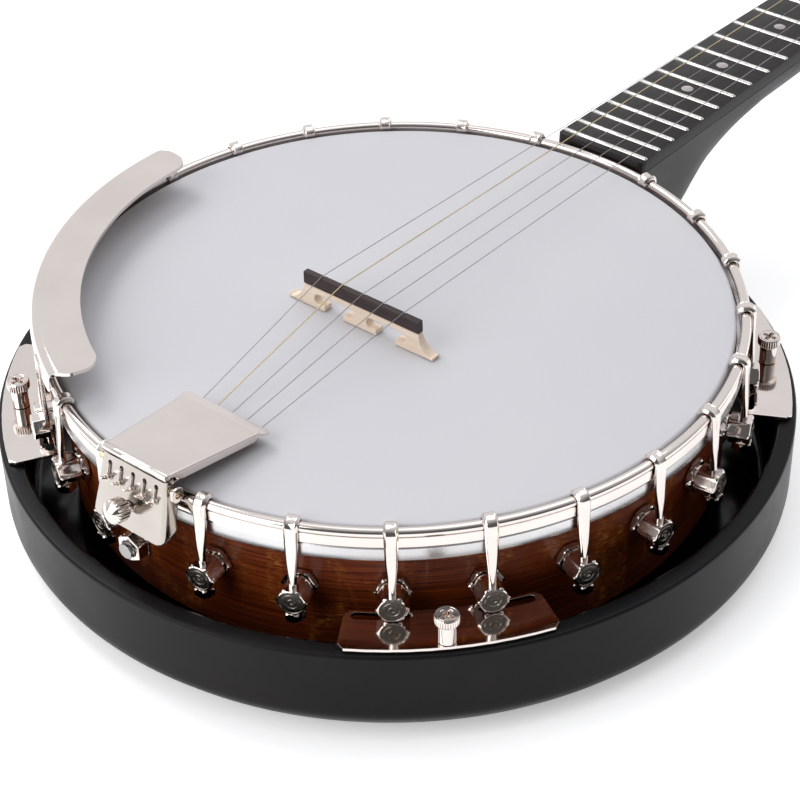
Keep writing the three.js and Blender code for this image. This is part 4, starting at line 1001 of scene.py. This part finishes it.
washer_rows = [(1.5, 0.0), (3.1, 0.0), (3.3, 0.2), (3.3, 0.7), (3.1, 0.9), (1.5, 0.9)]
washer = carried(turned(washer_rows, 48), (19.45, PIN_Y, PIN_H), (1, 0, 0))
add_grid("cross_pin_washer", washer, nickel, wrap_rows=True,
         stands_for="tailpiece_cross_pin", sharp=30)

# %% Hanger and nuts
softened("tailpiece_hanger_strap", "tailpiece_hanger", nickel, width=0.4)
softened("hanger_hex_nut", "hanger_nut", nickel, width=0.5)
softened("rod_through_the_pot", "coordinator_rod", plain_steel, width=0.2)
print("tailpiece: cover", round(float(half[-1] * 2), 1), "mm wide at the front")

# %% [markdown]
# ## Neck and fretboard
# The neck leans back a little from the head's plane, so its pieces are made lying along y, with
# the fretboard's top at height 0 and the last fret at y = 0, and then tilted. Frets sit where
# equal temperament puts them, and each is a half-round crown with bevelled ends.

# %% Neck frame
SCALE, LAST_FRET, NUT_Y = 662.6, 22, 476.66
NECK_TILT, HEAD_TILT = math.radians(-2.04), math.radians(-13.0)


def turn_x(points, angle):
    """Points turned about the x axis."""
    c, s = math.cos(angle), math.sin(angle)
    return np.asarray(points, float) @ np.array([[1, 0, 0], [0, c, s], [0, -s, c]])


def on_neck(points):
    """Points of the flat neck carried to the pot."""
    return turn_x(points, NECK_TILT) + [0.0, 153.5, 4.1]


def on_headstock(points):
    """Points counted from the headstock's face carried to the pot."""
    return on_neck(turn_x(points, HEAD_TILT) + [0.0, NUT_Y + 4, -6.4])


def fret_y(number):
    """Distance of a fret from the last one, in equal temperament."""
    return SCALE * (2 ** (-number / 12) - 2 ** (-LAST_FRET / 12))


PEG_Y = fret_y(5)
SHOULDER = PEG_Y + 14


def treble_edge(y):
    """Half width on the first string's side."""
    return 23.5 + (15.6 - 23.5) * y / NUT_Y


def bass_edge(y):
    """Half width on the fifth string's side, which steps in past the fifth peg."""
    step = np.clip((y - SHOULDER) / 16, 0, 1)
    step = step * step * (3 - 2 * step)
    return (1 - step) * (23.5 - 0.0115 * y) + step * 15.95


softened("neck_and_headstock", "neck", neck_black, width=0.0, sharp=42)
softened("truss_cover_plate", "truss_rod_cover", gloss_black, width=0.25)
softened("string_nut", "nut", bone, width=0.3)

# %% Fretboard, frets and dots
BOARD_END = -4.6
board_y = np.r_[BOARD_END, BOARD_END + 0.5, BOARD_END + 1.4, np.linspace(0, SHOULDER, 40),
                SHOULDER + np.linspace(1, 16, 16),
                np.linspace(SHOULDER + 24, NUT_Y, 12)]
corner = rounded(board_y - BOARD_END, 2.4)
treble, bass = treble_edge(board_y) - corner, bass_edge(board_y) - corner
board = []
for y, right_half, left_half in zip(board_y, treble, bass):
    board.append([(right_half, y, -6.0), (right_half, y, -0.5), (right_half - 0.15, y, -0.15),
                  (right_half - 0.5, y, 0),
                  (-left_half + 0.5, y, 0), (-left_half + 0.15, y, -0.15), (-left_half, y, -0.5),
                  (-left_half, y, -6.0)])
board = np.array(board)
add_grid("fretboard_blank", on_neck(board), board_wood, caps=True,
         stands_for="fretboard", sharp=40)
crown = np.radians(np.linspace(180, 0, 9))
for number in range(1, LAST_FRET + 1):
    y = fret_y(number)
    rows = []
    for share, height in ((-1, 0.1), (-0.985, 0.7), (-0.97, 1.0), (0.97, 1.0), (0.985, 0.7),
                          (1, 0.1)):
        edge = treble_edge(y) - 0.4 if share > 0 else bass_edge(y) - 0.4
        rows.append([(share * edge, y + 1.1 * math.cos(c),
                      -0.2 + 1.15 * math.sin(c) * height) for c in crown])
    add_grid(f"fret_{number:02d}", on_neck(rows), fret_metal, caps=True, stands_for="fretboard",
             sharp=40)
dot_rows = [(0.0, -0.3), (2.9, -0.3), (2.9, 0.0), (2.8, 0.06), (0.0, 0.08)]
for number in (3, 5, 7, 10, 12, 15, 17):
    y = (fret_y(number) + fret_y(number - 1)) / 2
    x = (treble_edge(y) - bass_edge(y)) / 2
    dot = turned(dot_rows, 40) + [x, y, 0]
    add_grid(f"position_dot_{number:02d}", on_neck(dot), pearl,
             stands_for="fretboard", sharp=40)
print(LAST_FRET, "frets; the twelfth is", round(fret_y(12), 1), "mm from the last")

# %% [markdown]
# ## Tuners
# Four tuners stand behind the headstock and one, shorter, in the neck's side for the fifth
# string. Their posts and knobs turn, so each is a separate turned piece on its own body.

# %% Side tuners
POSTS = {4: (-19, 36), 3: (-18, 92), 2: (18, 92), 1: (19, 36)}
HOUSING_H = -20.4
post_rows = [(0.0, HOUSING_H - 1), (2.9, HOUSING_H - 1), (2.9, 0.4), (6.0, 0.4), (6.2, 0.7),
             (5.4, 2.2), (5.0, 2.4),
             (2.9, 2.4), (2.9, 7), (3.4, 8), (3.4, 11), (2.6, 12.4), (2.45, 13.3), (2.6, 14.2),
             (3.1, 15.3),
             (3.2, 18.8), (2.8, 19.2), (0.0, 19.2)]
knob_rows = [(0.0, 0.0), (2.9, 0.0), (3.4, 0.5), (4.6, 2.0), (6.8, 4.4), (8.2, 6.6), (8.8, 8.9),
             (8.8, 11.0), (8.0, 13.2),
             (6.4, 14.6), (3.2, 15.2), (0.0, 15.4)]
shaft_rows = [(0.0, 0.0), (1.8, 0.0), (1.8, 21.6), (0.0, 21.6)]
for number, (x, y) in POSTS.items():
    side = math.copysign(1.0, x)
    softened(f"tuner_case_{number}", f"tuner_{number}_housing", nickel, width=0.5)
    post = turned(post_rows, 48) + [x, y, 0]
    add_grid(f"string_post_{number}", on_headstock(post), nickel,
             body=f"tuner_{number}_post", stands_for=f"tuner_{number}_post", sharp=30)
    shaft = carried(turned(shaft_rows, 24), (x, y - 6.2, HOUSING_H), (side, 0, 0))
    add_grid(f"tuner_shaft_{number}", on_headstock(shaft), nickel,
             body=f"tuner_{number}_knob", stands_for=f"tuner_{number}_knob", sharp=30)
    knob = turned(knob_rows, 64) * [1.0, 0.52, 1.0]
    knob = carried(knob[..., [1, 0, 2]], (x + side * 21, y - 6.2, HOUSING_H), (side, 0, 0))
    add_grid(f"tuner_button_{number}", on_headstock(knob), nickel,
             body=f"tuner_{number}_knob", stands_for=f"tuner_{number}_knob", sharp=40)

# %% Fifth peg
PEG_AT = (-float(bass_edge(PEG_Y)), PEG_Y + 8, -12.6)
PEG = {
    "fifth_peg_gear_case": (nickel, "instrument", "fifth_peg_housing", [
        (0.0, -8), (3.3, -8), (3.4, 0.5), (4.8, 0.8), (5.0, 1.2), (5.0, 1.7), (4.6, 2), (1.2, 2),
        (1.2, 12.4), (6.1, 12.4), (7.0, 13.1), (7.2, 13.9), (7.2, 19.6), (6.6, 21.2), (5.4, 22),
        (1.9, 22), (1.9, 19), (0.0, 19)]),
    "fifth_peg_spool": (nickel, "fifth_peg_post", "fifth_peg_post", [
        (1.5, 2.4), (3.4, 2.4), (3.6, 2.6), (2.8, 4.2), (2.6, 5.2), (2.6, 8.6), (2.9, 10.2),
        (3.6, 11.8), (3.4, 12), (1.5, 12)]),
    "fifth_peg_button": (pearl, "fifth_peg_knob", "fifth_peg_knob", [
        (0.0, 19.4), (1.5, 19.4), (1.5, 22.5), (3.2, 22.6), (3.6, 23.2), (4.4, 25), (6.4, 27),
        (8.1, 29), (8.8, 31.4), (8.8, 33.2), (8.0, 35.6), (6.6, 37), (3.4, 37.5), (0.0, 37.6)]),
}
for name, (material, body, stands_for, rows) in PEG.items():
    piece = carried(turned(rows, 48), PEG_AT, (-1, 0, 0))
    open_ring = rows[0][0] > 0
    add_grid(name, on_neck(piece), material, wrap_rows=open_ring, body=body,
             stands_for=stands_for, sharp=30)
softened("fifth_string_peg_pip", "fifth_string_pip", bone, width=0.2)
print("five tuners")

# %% [markdown]
# ## Strings
# A string is a tube along its route: out of its hole in the tailpiece, under the cover, over the
# lip, across the bridge and the nut, and round its post. At the tail it hooks over a tongue and
# is twisted back on itself, so its end is a loop and two strands that wind round each other.

# %% The five strings
PLAIN, WOUND = 0.17, 0.26
NUT_X = {4: -12.3, 3: -4.1, 2: 4.1, 1: 12.3}
PIP = (-15.9, PEG_Y + 3.4)


def bent(points, radius=1.2, steps=5):
    """The route with each corner replaced by a short curve."""
    points = np.asarray(points, float)
    route = [points[0]]
    for before, here, after in zip(points[:-2], points[1:-1], points[2:]):
        into, away = here - before, after - here
        into /= np.linalg.norm(into)
        away /= np.linalg.norm(away)
        for k in np.linspace(0, 1, steps):
            a, c = here - into * radius, here + away * radius
            route.append((1 - k) ** 2 * a + 2 * k * (1 - k) * here + k * k * c)
    route.append(points[-1])
    return np.array(route)


for number in (5, 4, 3, 2, 1):
    index = 5 - number
    size = WOUND if number == 4 else PLAIN
    material = wound_bronze if number == 4 else plain_steel
    hook_x, bridge_x = (index - 2) * HOLE_STEP, (index - 2) * STRING_STEP
    lip_x = hook_x + 0.33 * (bridge_x - hook_x)
    route = [(hook_x, -154.6, 7.95), (hook_x, -152.0, 7.6), ((hook_x + lip_x) / 2, -130, 6 + size),
             (lip_x, -103.6, 2.95 + size), (bridge_x, BRIDGE_Y, CAP_TOP + 0.1 + size)]
    if number == 5:
        route += [on_neck((PIP[0], PIP[1], 2.5 + size)),
                  on_neck((PEG_AT[0] - 0.7, PIP[1] + 2, 0.8)),
                  on_neck((PEG_AT[0] - 6.4, PEG_AT[1] - 1.2, PEG_AT[2] + 3.5 + size))]
    else:
        x, y = POSTS[number]
        inside = -math.copysign(1.0, x)
        route += [on_neck((NUT_X[number], NUT_Y + 2.6, 1.7 + size)),
                  on_headstock((x + inside * (2.9 + size), y - 1, 13.4))]
    rings = tube(bent(route, 0.7), size, 8)
    add_grid(f"string_{number}_length", rings, material, caps=True,
             stands_for=f"string_{number}", sharp=60)
    twist = np.linspace(0, 1, 46)
    strand_down = np.stack([0.3 * np.cos(26 * twist), 5.4 - 4.2 * twist,
                            0.75 + 0.3 * np.sin(26 * twist)], -1)
    loop = np.radians(np.linspace(70, 470, 34))
    eye = np.stack([1.25 * np.cos(loop), 1.25 * np.sin(loop), np.linspace(0.9, 1.3, 34)], -1)
    strand_up = strand_down[::-1] * [-1, 1, 1]
    strand_up[:, 2] = 1.5 - strand_up[:, 2]
    end = np.concatenate([strand_down, eye, strand_up])
    end = on_plate(end[:, 0] + hook_x, end[:, 1], end[:, 2], TONGUE_H)
    rings = tube(end, 0.2, 7)
    add_grid(f"string_{number}_loop", rings, nickel, caps=True,
             stands_for=f"string_{number}", slot=slot_of[material.name], sharp=60)

# %% Windings on the posts
for number, (x, y) in POSTS.items():
    size = WOUND if number == 4 else PLAIN
    t = np.linspace(0, 2 * np.pi * 3, 80)
    wind = np.stack([x + (2.62 + size) * np.cos(t), y + (2.62 + size) * np.sin(t),
                     12.2 + 2.1 * t / t[-1]], -1)
    rings = tube(on_headstock(wind), size, 6)
    material = wound_bronze if number == 4 else plain_steel
    add_grid(f"string_winding_{number}", rings, material, caps=True, body=f"tuner_{number}_post",
             stands_for=f"string_{number}", sharp=60)
shown = [o.name for o in scene.objects if o.type == "MESH" and not o.hide_render]
left_over = [name for name in nodes if not nodes[name].hide_render]
print(len(shown), "pieces shown; measured nodes still shown:", left_over)
